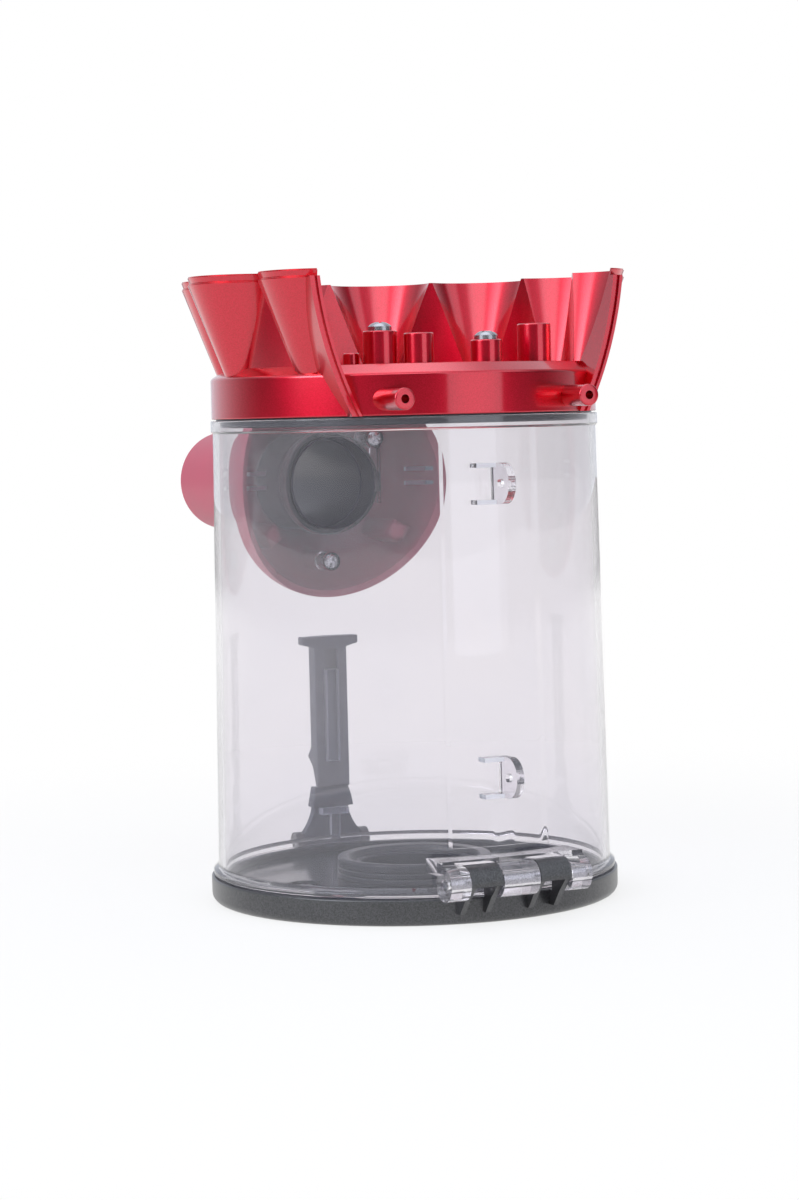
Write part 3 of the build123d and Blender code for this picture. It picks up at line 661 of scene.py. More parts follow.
@dataclass
class ScrewSet:
    """Cross-recessed pan-head screws, set in place by one geometry tree."""

    head_radius: float
    head_height: float
    dome: float  # how far the head's edge lies below its middle
    shank_radius: float
    shank_length: float
    tilt_deg: float  # turn about X, from heads that look up
    seed: int  # of the turn at which each cross stands
    cross_share: float = 0.62  # length of the cross against the head's diameter
    cross_width: float = 0.75
    cross_depth: float = 0.8
    head_steps: int = 48
    head_rings: int = 7
    shank_steps: int = 24
    dome_power: float = 3.0
    crest_share: float = 0.45  # points above this share of the head's height, from its middle, belong to the dome

    def tree(self) -> bpy.types.NodeTree:
        """Make the tree that sets a domed, crossed head and a shank on every point.

        Returns:
            The geometry tree.
        """
        number = "NodeSocketFloat"
        tree, group = new_tree("screw_set", {
            "Seats": "NodeSocketGeometry", "Head Radius": number, "Head Height": number, "Dome": number,
            "Shank Radius": number, "Shank Length": number, "Cross Length": number, "Cross Width": number,
            "Cross Depth": number, "Tilt": number, "Seed": "NodeSocketInt", "Finish": "NodeSocketMaterial"})
        size = group.outputs
        head = add_node(tree, "GeometryNodeMeshCylinder", {
            "Vertices": self.head_steps, "Side Segments": 2, "Fill Segments": self.head_rings,
            "Radius": size["Head Radius"], "Depth": size["Head Height"]}, fill_type="TRIANGLE_FAN")
        spot = add_node(tree, "ShaderNodeSeparateXYZ", {0: add_node(tree, "GeometryNodeInputPosition").outputs[0]})
        flat = add_node(tree, "ShaderNodeCombineXYZ", {"X": spot.outputs["X"], "Y": spot.outputs["Y"]})
        reach = add_node(tree, "ShaderNodeVectorMath", {0: flat.outputs[0]}, operation="LENGTH")
        share = add_node(tree, "ShaderNodeMath", {0: reach.outputs["Value"], 1: size["Head Radius"]},
                         operation="DIVIDE")
        curve = add_node(tree, "ShaderNodeMath", {0: share.outputs[0], 1: self.dome_power}, operation="POWER")
        drop = add_node(tree, "ShaderNodeMath", {0: curve.outputs[0], 1: size["Dome"]}, operation="MULTIPLY")
        fall = add_node(tree, "ShaderNodeMath", {0: 0.0, 1: drop.outputs[0]}, operation="SUBTRACT")
        lower = add_node(tree, "ShaderNodeCombineXYZ", {"Z": fall.outputs[0]})
        top = add_node(tree, "ShaderNodeMath", {0: size["Head Height"], 1: self.crest_share}, operation="MULTIPLY")
        crest = add_node(tree, "FunctionNodeCompare", {0: spot.outputs["Z"], 1: top.outputs[0]},
                         operation="GREATER_THAN")
        domed = add_node(tree, "GeometryNodeSetPosition", {"Geometry": head.outputs["Mesh"], "Offset": lower.outputs[0],
                                                           "Selection": crest.outputs[0]})
        half = add_node(tree, "ShaderNodeMath", {0: size["Head Height"], 1: 0.5}, operation="MULTIPLY")
        lift = add_node(tree, "ShaderNodeCombineXYZ", {"Z": half.outputs[0]})
        slots = []
        for length, width in (("Cross Length", "Cross Width"), ("Cross Width", "Cross Length")):
            bar = add_node(tree, "ShaderNodeCombineXYZ", {"X": size[length], "Y": size[width],
                                                          "Z": size["Cross Depth"]})
            cube = add_node(tree, "GeometryNodeMeshCube", {"Size": bar.outputs[0]})
            slots.append(add_node(tree, "GeometryNodeTransform", {"Geometry": cube.outputs["Mesh"],
                                                                  "Translation": lift.outputs[0]}).outputs[0])
        crossed = add_node(tree, "GeometryNodeMeshBoolean", {"Mesh 1": domed.outputs[0], "Mesh 2": slots},
                           operation="DIFFERENCE", solver="EXACT")
        raised = add_node(tree, "GeometryNodeTransform", {"Geometry": crossed.outputs["Mesh"],
                                                          "Translation": lift.outputs[0]})
        shank = add_node(tree, "GeometryNodeMeshCylinder", {
            "Vertices": self.shank_steps, "Radius": size["Shank Radius"], "Depth": size["Shank Length"]})
        sink = add_node(tree, "ShaderNodeMath", {0: size["Shank Length"], 1: -0.5}, operation="MULTIPLY")
        depth = add_node(tree, "ShaderNodeCombineXYZ", {"Z": sink.outputs[0]})
        sunk = add_node(tree, "GeometryNodeTransform", {"Geometry": shank.outputs["Mesh"],
                                                        "Translation": depth.outputs[0]})
        screw = add_node(tree, "GeometryNodeJoinGeometry", {0: [raised.outputs[0], sunk.outputs[0]]})
        lean = add_node(tree, "ShaderNodeCombineXYZ", {"X": size["Tilt"]})
        placed = add_node(tree, "GeometryNodeInstanceOnPoints", {
            "Points": size["Seats"], "Instance": screw.outputs[0], "Rotation": lean.outputs[0]})
        stop = add_node(tree, "FunctionNodeRandomValue", {2: 0.0, 3: math.pi, "Seed": size["Seed"]})
        spin = add_node(tree, "ShaderNodeCombineXYZ", {"Z": stop.outputs[1]})
        turned = add_node(tree, "GeometryNodeRotateInstances", {"Instances": placed.outputs[0],
                                                                "Rotation": spin.outputs[0]})
        real = add_node(tree, "GeometryNodeRealizeInstances", {0: turned.outputs[0]})
        dressed = add_node(tree, "GeometryNodeSetMaterial", {"Geometry": real.outputs[0], "Material": size["Finish"]})
        add_node(tree, "NodeGroupOutput", {0: dressed.outputs[0]})
        return tree

    def build(self, shop: Workshop, node: str, seats: list[Corner]) -> None:
        """Set a screw on every seat and hand the set in.

        Args:
            shop: the workshop.
            node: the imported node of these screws.
            seats: where each head rests.
        """
        piece = mesh_piece(f"{node}_piece", seats, [])
        grow_tree(piece, self.tree(), {
            "Head Radius": self.head_radius * MM, "Head Height": self.head_height * MM, "Dome": self.dome * MM,
            "Shank Radius": self.shank_radius * MM, "Shank Length": self.shank_length * MM,
            "Cross Length": self.head_radius * 2 * self.cross_share * MM, "Cross Width": self.cross_width * MM,
            "Cross Depth": self.cross_depth * 2 * MM, "Tilt": math.radians(self.tilt_deg), "Seed": self.seed,
            "Finish": shop.material(node)})
        shop.hand_in(piece, node)


@dataclass
class ClearBin:
    """Clear tapered bin with its spine, ears, hinge barrels, slider rail, catch keeper and inlet spigot."""

    foot: float = 7.9
    top: float = 138.6
    foot_radius: float = 56.9
    top_radius: float = 55.1
    wall: float = 1.8
    flange_radius: float = 58.3
    flange_height: float = 2.6
    collar_radius: float = 55.7
    collar_height: float = 3.6
    rim_round: float = 0.4
    rim_flare: float = 0.4
    root_y: float = 38.0  # what stands on the wall starts this far from the axis, and the inside is cut free of it
    spine_foot: float = 20.9
    # of each land: half its arc, how far its edges and its middle stand off the wall, steps of its left and right edge
    spine_lands: tuple[tuple[float, float, float, int, int], ...] = ((16.0, -0.05, 0.8, 2, 8), (4.2, 0.75, 1.0, 8, 8))
    ear_heights: Point = (40.0, 120.0)
    ear_reach: float = 11.5
    ear_half: float = 5.6
    ear_thickness: float = 2.2
    ear_steps: int = 20
    eye_radius: float = 1.2
    eye_cut: float = 5.0
    shelf_length: float = 7.0
    shelf_reach: float = 5.0
    shelf_thickness: float = 1.2
    hinge: Point = (-63.2, 12.5)
    barrel_radius: float = 4.7
    barrel_spans: tuple[Point, ...] = ((-21.5, -15.5), (-5.5, 5.5), (15.5, 21.5))
    hinge_plate: float = 2.6
    plate_rise: float = 0.4
    cover_back: float = 0.8
    cover_rises: Point = (0.15, 1.4)
    pin_bore: float = 1.55
    pin_cut: float = 30.0
    rail_span: Point = (33.4, 61.5)
    rail_stem: Point = (2.0, 59.65)  # half its width, and where it ends
    rail_head: Corner = (3.5, 59.6, 61.0)  # half its width, and where it starts and ends
    keeper_half: float = 4.5
    keeper_span: Point = (16.8, 18.8)
    keeper_end: float = 60.0
    keeper_rib: Point = (1.5, 58.25)  # half its width, and where it ends
    keeper_rib_lift: float = 0.5
    keeper_rib_top: float = 18.7
    inlet_z: float = 118.9
    spigot_radius: float = 15.8
    spigot_bore: float = 14.2
    spigot_end: float = 59.0
    spigot_rib_x: Point = (15.5, 16.7)
    spigot_rib_rises: Point = (-6.6, 13.3)
    spigot_rib_end: float = 58.7
    guide_spans: tuple[Point, ...] = ((-31.5, -24.0), (24.0, 31.5))
    guide_rises: Point = (-0.65, 3.65)
    guide_half: float = 0.6
    guide_end: float = 51.0
    screw_places: tuple[Point, ...] = ((14.956, 13.279), (0.0, -24.0))
    boss_radius: float = 3.0
    boss_end: float = 62.0
    seat_radius: float = 2.7
    seat_depth: float = 1.5
    shank_bore: float = 1.35
    frost_half: float = 4.6  # the haze of rail and keeper goes this far to both sides
    frost_foot: float = 11.0
    frost_band: float = 6.0  # the haze of the guides goes this far above and below the inlet's axis
    frost_shelf: float = 1.0  # the haze of the shelves starts this far off the wall
    frost_margin: float = 0.1
    frost_gap: float = 0.01

    def wall_radius(self, z: float) -> float:
        """Return the outer radius of the wall at a height."""
        share = (z - self.foot) / (self.top - self.foot)
        return self.foot_radius + (self.top_radius - self.foot_radius) * share

    def eye_y(self, z: float) -> float:
        """Return where the eye of the ear at a height lies behind the axis."""
        return -self.wall_radius(z) - self.ear_reach + self.ear_half

    def screw_seats(self) -> list[Corner]:
        """Find where the heads of the cowl's screws rest in the wall.

        Returns:
            One point for each screw.
        """
        seats = []
        for x, rise in self.screw_places:
            z = self.inlet_z + rise
            inner = self.wall_radius(z) - self.wall
            seats.append((x, math.sqrt(inner ** 2 - x ** 2) + self.seat_depth, z))
        return seats

    def outside(self) -> bpy.types.Object:
        """Turn the filled outside of the bin.

        Returns:
            The round that everything else is joined to or cut from.
        """
        shoulder = self.foot + self.flange_height
        neck = self.top - self.collar_height
        lift = self.collar_radius - self.wall_radius(neck)
        r = self.rim_round
        return lathe("bin_shell_piece", rounded([
            (0, self.foot, 0), (self.flange_radius, self.foot, r),
            (self.flange_radius, self.foot + self.flange_height / 2, r),
            (self.wall_radius(shoulder), shoulder, r), (self.wall_radius(neck), neck, r / 2),
            (self.collar_radius, neck + lift, r / 2), (self.collar_radius, self.top, r), (0, self.top, 0)]),
            steps=WALL_STEPS)

    def inside(self) -> bpy.types.Object:
        """Turn the space inside the bin, flared a little at both rims.

        Returns:
            The tool that hollows the bin.
        """
        low = self.foot_radius - self.wall
        high = self.top_radius - self.wall
        flare = self.rim_flare
        return lathe("bin_inside", [
            (0, self.foot - PAST), (low + flare + PAST, self.foot - PAST), (low, self.foot + flare),
            (high, self.top - flare), (high + flare + PAST, self.top + PAST), (0, self.top + PAST)],
            steps=WALL_STEPS)

    def land(self, half_deg: float, edge: float, thickness: float, left: int, right: int) -> bpy.types.Object:
        """Make one raised land down the rear wall, with soft edges.

        Args:
            half_deg: half the arc that it covers.
            edge: how far its two edges stand off the wall.
            thickness: how far its middle stands off the wall.
            left: steps over which the left edge rises.
            right: steps over which the right edge rises.

        Returns:
            The land as a closed mesh.
        """
        high = self.top - self.collar_height
        steps = round(WALL_STEPS * half_deg / 180)
        points: list[Corner] = []
        for step in range(steps + 1):
            turn = math.radians(-90 - half_deg + 2 * half_deg * step / steps)
            ramp = min(1.0, step / left, (steps - step) / right)
            proud = edge + (thickness - edge) * ramp * ramp * (3 - 2 * ramp)
            for z, grow in ((self.spine_foot, -self.wall / 2), (self.spine_foot, proud),
                            (high, proud), (high, -self.wall / 2)):
                radius = self.wall_radius(z) + grow
                points.append((radius * math.cos(turn), radius * math.sin(turn), z))
        faces = [[0, 1, 2, 3], [4 * steps + k for k in range(4)]]
        for step in range(steps):
            for side in range(4):
                a = 4 * step + side
                b = 4 * step + (side + 1) % 4
                faces.append([a, b, b + 4, a + 4])
        return mesh_piece("spine_land", points, faces)

    def ear(self, z: float) -> list[bpy.types.Object]:
        """Make the plate and the two shelves of one ear.

        Args:
            z: height of its eye.

        Returns:
            The three tools.
        """
        root = -self.wall_radius(z) + self.wall / 2
        turns = [math.pi / 2 + math.pi * step / self.ear_steps for step in range(self.ear_steps + 1)]
        tip = [(self.eye_y(z) + self.ear_half * math.cos(t), z + self.ear_half * math.sin(t)) for t in turns]
        outline = [(root, z + self.ear_half)] + tip + [(root, z - self.ear_half)]
        tools = [prism("ear", outline, -self.ear_thickness / 2, self.ear_thickness / 2, Along.X)]
        for side in (-1, 1):
            mid = z + side * (self.ear_half - self.shelf_thickness / 2)
            shelf = rectangle(root - self.shelf_reach, root, mid - self.shelf_thickness / 2,
                              mid + self.shelf_thickness / 2)
            tools.append(prism("ear_shelf", shelf, -self.shelf_length, 0, Along.X))
        return tools

    def hinge_tube(self) -> list[bpy.types.Object]:
        """Make the hinge's barrels, the plates that carry them and the cover above the flap's hooks.

        Returns:
            The tools, from left to right.
        """
        y, z = self.hinge
        over = z + self.barrel_radius
        plate = rectangle(y, -self.root_y, over - self.hinge_plate, over + self.plate_rise)
        tools = []
        for low, high in self.barrel_spans:
            tools.append(prism("barrel", circle(self.barrel_radius, y, z), low, high, Along.X))
            tools.append(prism("barrel_plate", plate, low, high, Along.X))
        low_rise, high_rise = self.cover_rises
        cover = rectangle(y + self.cover_back, -self.root_y, over + low_rise, over + high_rise)
        tools.append(prism("hinge_cover", cover, self.barrel_spans[0][0], self.barrel_spans[-1][1], Along.X))
        return tools

    def front_fittings(self) -> list[bpy.types.Object]:
        """Make what stands on the front wall: rail, keeper, spigot, bosses and guides.

        Returns:
            The tools.
        """
        front = self.root_y
        half, end = self.rail_stem
        tools = [prism("rail_stem", rectangle(-half, half, *self.rail_span), front, end, Along.Y)]
        half, start, end = self.rail_head
        tools.append(prism("rail_head", rectangle(-half, half, *self.rail_span), start, end, Along.Y))
        half = self.keeper_half
        tools.append(prism("keeper", rectangle(-half, half, *self.keeper_span), front, self.keeper_end, Along.Y))
        half, end = self.keeper_rib
        rib = rectangle(-half, half, self.foot + self.keeper_rib_lift, self.keeper_rib_top)
        tools.append(prism("keeper_rib", rib, front, end, Along.Y))
        tube = circle(self.spigot_radius, 0, self.inlet_z, TUBE_STEPS)
        tools.append(prism("spigot", tube, front, self.spigot_end, Along.Y))
        for x, rise in self.screw_places:
            boss = circle(self.boss_radius, x, self.inlet_z + rise)
            tools.append(prism("boss", boss, front, self.boss_end, Along.Y))
        for span in self.guide_spans:
            for rise in self.guide_rises:
                mid = self.inlet_z + rise
                guide = rectangle(*span, mid - self.guide_half, mid + self.guide_half)
                tools.append(prism("guide", guide, front, self.guide_end, Along.Y))
        rises = [self.inlet_z + rise for rise in self.spigot_rib_rises]
        tools.append(prism("spigot_rib", rectangle(*self.spigot_rib_x, *rises), front, self.spigot_rib_end, Along.Y))
        return tools

    def bores(self) -> list[bpy.types.Object]:
        """Make what is bored out: the ears' eyes, the hinge, the inlet and the ways of the cowl's screws.

        Returns:
            The tools.
        """
        tools = [prism("eye", circle(self.eye_radius, self.eye_y(z), z), -self.eye_cut, self.eye_cut, Along.X)
                 for z in self.ear_heights]
        tools.append(prism("pin_bore", circle(self.pin_bore, *self.hinge), -self.pin_cut, self.pin_cut, Along.X))
        inlet = circle(self.spigot_bore, 0, self.inlet_z, TUBE_STEPS)
        tools.append(prism("inlet", inlet, self.root_y, self.spigot_end + PAST, Along.Y))
        for x, y, z in self.screw_seats():
            tools.append(prism("head_seat", circle(self.seat_radius, x, z), self.root_y, y, Along.Y))
            tools.append(prism("shank_way", circle(self.shank_bore, x, z), self.root_y, self.boss_end + PAST, Along.Y))
        return tools

    def build(self, shop: Workshop) -> None:
        """Build the bin as one closed wall and hand it in.

        Args:
            shop: the workshop.
        """
        joined = [self.land(*land) for land in self.spine_lands]
        for z in self.ear_heights:
            joined += self.ear(z)
        joined += self.hinge_tube() + self.front_fittings()
        removed = [self.inside()] + self.bores()
        steps = [(Cut.JOIN, tool) for tool in joined] + [(Cut.REMOVE, tool) for tool in removed]
        piece = carve(self.outside(), steps)
        shop.hand_in(piece, "bin_shell")
        self.frost(piece)

    def frost(self, piece: bpy.types.Object) -> None:
        """Give the rail, keeper, guides and ear shelves the hazier skin that their small mould inserts leave.

        Args:
            piece: the finished bin.
        """
        piece.data.materials.append(RAIL_FINISH.build())
        margin = self.frost_margin
        guide_low, guide_high = self.guide_spans[-1]
        for face in piece.data.polygons:
            x, y, z = face.center / MM
            outside = math.hypot(x, y) > self.wall_radius(z) + margin
            rail = abs(x) < self.frost_half and y > 0 and self.frost_foot < z < self.rail_span[1] + margin
            level = abs(z - self.inlet_z) < self.frost_band
            guide = guide_low - margin < abs(x) < guide_high + margin and y > 0 and level
            beside = -self.shelf_length - margin < x < -self.ear_thickness / 2 - self.frost_gap
            shelf = beside and y < -self.foot_radius - self.frost_shelf
            at_ear = min(abs(z - ear) for ear in self.ear_heights) < self.ear_half + margin
            face.material_index = int(outside and (rail or guide or (shelf and at_ear)))


@dataclass
class Crown:
    """Red crown: a band, a scalloped wall of flaring lobes open at the rear, and a deck with posts."""

    foot: float = 139.0
    top: float = 179.0
    ring_radius: float = 55.4
    ring_top: float = 150.5
    ring_round: float = 1.2
    deck_top: float = 153.2
    deck_plate: float = 2.0
    deck_bore: float = 36.5
    wall: float = 1.6
    skirt_radius: float = 51.5
    skirt_foot: float = 137.6
    skirt_inner: float = 49.5
    ring_inner: float = 52.9
    web_foot: float = 51.0
    web_top: float = 52.0
    lobe_count: int = 10
    lobes_left_out: int = 2
    foot_axis: float = 48.8
    foot_size: float = 5.7
    top_axis: float = 48.739
    top_size: float = 16.661
    lip_height: float = 2.0
    lip_inset: float = 0.7
    lip_round: float = 0.35
    lobe_steps: int = 128
    edge_rounds: Corner = (0.3, 0.4, 0.3)  # of the skirt's foot, the band's foot and the deck's edge
    skirt_step: Point = (2.0, 4.0)  # heights above the foot between which the hollow widens
    shelf_drop: float = 2.0
    bore_depth: float = 4.0
    bore_bevel: float = 0.4
    opening: tuple[Point, ...] = ((33.5, 139.0), (41.4, 158.6), (45.4, 180.6))  # points on the rear opening's edge
    opening_steps: int = 28
    opening_over: float = 1.5
    opening_back: float = -120.0
    fin_width: float = 3.0
    fin_face: float = -44.5
    fin_depth: float = 16.0
    groove_width: float = 1.2
    groove_depth: float = 0.8
    post_radius: float = 42.0
    # of each post: degrees from the rear, diameter and height; the first two carry screws, and the stub has no hole
    posts: tuple[Corner, ...] = ((-33.7, 9.5, 9.1), (8.2, 8.7, 6.2), (-19.2, 8.3, 8.3), (36.9, 9.5, 10.7))
    stub: Corner = (-45.0, 4.6, 3.2)
    screwed_posts: int = 2
    post_round: float = 0.45
    post_root: float = 1.0
    post_hole: Point = (1.35, 6.0)  # radius and depth
    boss_x: float = 28.0
    boss_z: float = 143.4
    boss_radius: float = 3.0
    boss_round: float = 0.5
    boss_front: float = -60.0
    boss_root: float = -30.0
    boss_hole: Point = (1.2, 8.0)  # radius and depth
    gasket_radii: Corner = (51.6, 53.0, 54.1)
    gasket_heights: Corner = (136.8, 138.6, 139.0)
    gasket_round: float = 0.3

    def lobe_tree(self) -> bpy.types.NodeTree:
        """Make the tree that rings a slim cone with flaring lobes, leaving some out at the rear.

        Returns:
            The geometry tree.
        """
        number = "NodeSocketFloat"
        tree, group = new_tree("scalloped_wall", {
            "Lobes": "NodeSocketInt", "Left Out": "NodeSocketInt", "Low": number, "High": number, "Foot Axis": number,
            "Top Axis": number, "Foot Size": number, "Top Size": number, "Web Foot": number, "Web Top": number,
            "Finish": "NodeSocketMaterial"})
        size = group.outputs
        height = add_node(tree, "ShaderNodeMath", {0: size["High"], 1: size["Low"]}, operation="SUBTRACT")
        cone = add_node(tree, "GeometryNodeMeshCone", {
            "Vertices": self.lobe_steps, "Radius Top": size["Top Size"], "Radius Bottom": size["Foot Size"],
            "Depth": height.outputs[0]})
        spot = add_node(tree, "ShaderNodeSeparateXYZ", {0: add_node(tree, "GeometryNodeInputPosition").outputs[0]})
        axis = add_node(tree, "ShaderNodeMapRange", {
            "Value": spot.outputs["Z"], "From Max": height.outputs[0], "To Min": size["Foot Axis"],
            "To Max": size["Top Axis"]}, clamp=False)
        lean = add_node(tree, "ShaderNodeCombineXYZ", {"X": axis.outputs[0], "Z": size["Low"]})
        lobe = add_node(tree, "GeometryNodeSetPosition", {"Geometry": cone.outputs["Mesh"], "Offset": lean.outputs[0]})
        kept = add_node(tree, "ShaderNodeMath", {0: size["Lobes"], 1: size["Left Out"]}, operation="SUBTRACT")
        spots = add_node(tree, "GeometryNodePoints", {"Count": kept.outputs[0]})
        skipped = add_node(tree, "ShaderNodeMath", {0: size["Left Out"], 1: 1.0}, operation="ADD")
        start = add_node(tree, "ShaderNodeMath", {0: skipped.outputs[0], 1: 0.5}, operation="MULTIPLY")
        count = add_node(tree, "ShaderNodeMath", {0: add_node(tree, "GeometryNodeInputIndex").outputs[0],
                                                  1: start.outputs[0]}, operation="ADD")
        pitch = add_node(tree, "ShaderNodeMath", {0: math.tau, 1: size["Lobes"]}, operation="DIVIDE")
        turn = add_node(tree, "ShaderNodeMath", {0: count.outputs[0], 1: pitch.outputs[0], 2: -math.pi / 2},
                        operation="MULTIPLY_ADD")
        spin = add_node(tree, "ShaderNodeCombineXYZ", {"Z": turn.outputs[0]})
        ring = add_node(tree, "GeometryNodeInstanceOnPoints", {
            "Points": spots.outputs[0], "Instance": lobe.outputs[0], "Rotation": spin.outputs[0]})
        web = add_node(tree, "GeometryNodeMeshCone", {
            "Vertices": TURN_STEPS, "Radius Top": size["Web Top"], "Radius Bottom": size["Web Foot"],
            "Depth": height.outputs[0]})
        rise = add_node(tree, "ShaderNodeCombineXYZ", {"Z": size["Low"]})
        core = add_node(tree, "GeometryNodeTransform", {"Geometry": web.outputs["Mesh"],
                                                        "Translation": rise.outputs[0]})
        whole = add_node(tree, "GeometryNodeMeshBoolean", {"Mesh 2": [core.outputs[0], ring.outputs[0]]},
                         operation="UNION", solver="MANIFOLD")
        real = add_node(tree, "GeometryNodeRealizeInstances", {0: whole.outputs["Mesh"]})
        dressed = add_node(tree, "GeometryNodeSetMaterial", {"Geometry": real.outputs[0], "Material": size["Finish"]})
        add_node(tree, "NodeGroupOutput", {0: dressed.outputs[0]})
        return tree

    def form(self, shop: Workshop, tree: bpy.types.NodeTree, grow: float, low: float, high: float) -> bpy.types.Object:
        """Grow the scalloped form between two heights.

        Args:
            shop: the workshop.
            tree: the tree that makes it.
            grow: how far its outside is moved outwards.
            low: height of its foot.
            high: height of its top.

        Returns:
            The form as a closed mesh.
        """
        values: dict[str, object] = {"Lobes": self.lobe_count, "Left Out": self.lobes_left_out, "Low": low * MM,
                                     "High": high * MM, "Finish": shop.material("crown_cover"),
                                     "Web Foot": (self.web_foot + grow) * MM, "Web Top": (self.web_top + grow) * MM}
        for end, z in (("Foot", low), ("Top", high)):
            share = (z - self.ring_top) / (self.top - self.ring_top)
            values[f"{end} Axis"] = (self.foot_axis + (self.top_axis - self.foot_axis) * share) * MM
            values[f"{end} Size"] = (self.foot_size + (self.top_size - self.foot_size) * share + grow) * MM
        return grow_tree(mesh_piece("scalloped_form", [], []), tree, values)

    def ring(self) -> bpy.types.Object:
        """Turn the filled band with its sloping shelf and the skirt below.

        Returns:
            The round that everything else is joined to or cut from.
        """
        skirt_round, foot_round, deck_round = self.edge_rounds
        return lathe("crown_cover_piece", rounded([
            (0, self.skirt_foot, 0), (self.skirt_radius, self.skirt_foot, skirt_round),
            (self.skirt_radius, self.foot, 0), (self.ring_radius, self.foot, foot_round),
            (self.ring_radius, self.ring_top, self.ring_round), (self.web_foot, self.deck_top, deck_round),
            (0, self.deck_top, 0)]))

    def under(self) -> bpy.types.Object:
        """Turn the hollow below the deck.

        Returns:
            The tool that hollows the band.
        """
        floor = self.deck_top - self.deck_plate
        low = self.skirt_foot - PAST
        step_low, step_high = self.skirt_step
        return lathe("under_deck", [
            (0, low), (self.skirt_inner, low), (self.skirt_inner, self.foot + step_low),
            (self.ring_inner, self.foot + step_high), (self.ring_inner, self.ring_top - self.shelf_drop),
            (self.web_foot - self.wall, floor), (0, floor)])

    def bore(self) -> bpy.types.Object:
        """Turn the bore of the deck with its bevelled edge.

        Returns:
            The tool that bores the deck.
        """
        r = self.deck_bore
        bevel = self.bore_bevel
        low = self.deck_top - self.bore_depth
        return lathe("deck_bore", [(0, low), (r, low), (r, self.deck_top - bevel),
                                   (r + 2 * bevel, self.deck_top + bevel), (0, self.deck_top + bevel)])

    def edge(self, low: float, high: float, side: int, outset: float) -> list[Point]:
        """Return the curved edge of the rear opening on one side, between two heights.

        Args:
            low: lowest height.
            high: greatest height.
            side: -1 or 1 for the two sides.
            outset: how far the edge is moved outwards.

        Returns:
            Points (x, z) from low to high.
        """
        (ax, az), (bx, bz), (cx, cz) = self.opening
        double = 2 * (ax * (bz - cz) + bx * (cz - az) + cx * (az - bz))
        squares = (ax ** 2 + az ** 2, bx ** 2 + bz ** 2, cx ** 2 + cz ** 2)
        mid_x = (squares[0] * (bz - cz) + squares[1] * (cz - az) + squares[2] * (az - bz)) / double
        mid_z = (squares[0] * (cx - bx) + squares[1] * (ax - cx) + squares[2] * (bx - ax)) / double
        radius = math.hypot(ax - mid_x, az - mid_z)
        steps = self.opening_steps
        heights = [low + (high - low) * step / steps for step in range(steps + 1)]
        away = 1 if ax > mid_x else -1
        return [(side * (mid_x + away * math.sqrt(radius ** 2 - (z - mid_z) ** 2) + outset), z) for z in heights]

    def fin(self, side: int) -> bpy.types.Object:
        """Make one grooved fin along the rear opening.

        Args:
            side: -1 or 1 for the two sides.

        Returns:
            The fin as a closed mesh.
        """
        high = self.top - self.lip_height
        band = self.edge(self.foot, high, side, 0) + self.edge(self.foot, high, side, self.fin_width)[::-1]
        plate = prism("fin", band, self.fin_face, self.fin_face + self.fin_depth, Along.Y)
        inner = (self.fin_width - self.groove_width) / 2
        slot = self.edge(self.foot - PAST, high + PAST, side, inner)
        slot += self.edge(self.foot - PAST, high + PAST, side, inner + self.groove_width)[::-1]
        groove = prism("groove", slot, self.fin_face - PAST, self.fin_face + self.groove_depth, Along.Y)
        return carve(plate, [(Cut.REMOVE, groove)])

    def rear_gap(self) -> bpy.types.Object:
        """Make the rear opening above the deck.

        Returns:
            The tool that opens the rear.
        """
        high = self.top + self.opening_over
        outline = self.edge(self.deck_top, high, 1, 0) + self.edge(self.deck_top, high, -1, 0)[::-1]
        return prism("rear_gap", outline, self.opening_back, 0, Along.Y)

    def boss(self, side: int) -> bpy.types.Object:
        """Make one rear boss with a rounded front edge.

        Args:
            side: -1 or 1 for the two sides.

        Returns:
            The boss as a closed mesh.
        """
        r = self.boss_radius
        outline = rounded([(0, self.boss_front, 0), (r, self.boss_front, self.boss_round), (r, self.boss_root, 0),
                           (0, self.boss_root, 0)])
        return lathe("boss", outline, Along.Y, (side * self.boss_x, self.boss_z))

    def post_place(self, angle: float) -> Point:
        """Return x and y of a post at an angle from the rear."""
        turn = math.radians(angle)
        return self.post_radius * math.sin(turn), -self.post_radius * math.cos(turn)

    def post(self, angle: float, diameter: float, height: float) -> bpy.types.Object:
        """Make one post with a rounded top edge.

        Args:
            angle: degrees from the rear.
            diameter: its diameter.
            height: how far it stands above the deck.

        Returns:
            The post as a closed mesh.
        """
        radius = diameter / 2
        foot = self.deck_top - self.post_root
        top = self.deck_top + height
        outline = rounded([(0, foot, 0), (radius, foot, 0), (radius, top, self.post_round), (0, top, 0)])
        return lathe("post", outline, Along.Z, self.post_place(angle))

    def holes(self) -> list[bpy.types.Object]:
        """Make the holes of the posts and of the rear bosses.

        Returns:
            The tools.
        """
        tools = []
        radius, depth = self.post_hole
        for angle, _, height in self.posts:
            top = self.deck_top + height
            tools.append(prism("post_hole", circle(radius, *self.post_place(angle)), top - depth, top + PAST, Along.Z))
        radius, depth = self.boss_hole
        for side in (-1, 1):
            hole = circle(radius, side * self.boss_x, self.boss_z)
            tools.append(prism("boss_hole", hole, self.boss_front - PAST, self.boss_front + depth, Along.Y))
        return tools

    def gasket(self) -> bpy.types.Object:
        """Turn the thin gasket between the bin's rim and the crown.

        Returns:
            The gasket.
        """
        inner, outer, flange = self.gasket_radii
        low, mid, high = self.gasket_heights
        return lathe("top_gasket_piece", rounded([
            (inner, low, self.gasket_round), (outer, low, self.gasket_round), (outer, mid, 0), (flange, mid, 0),
            (flange, high, 0), (inner, high, 0)]))

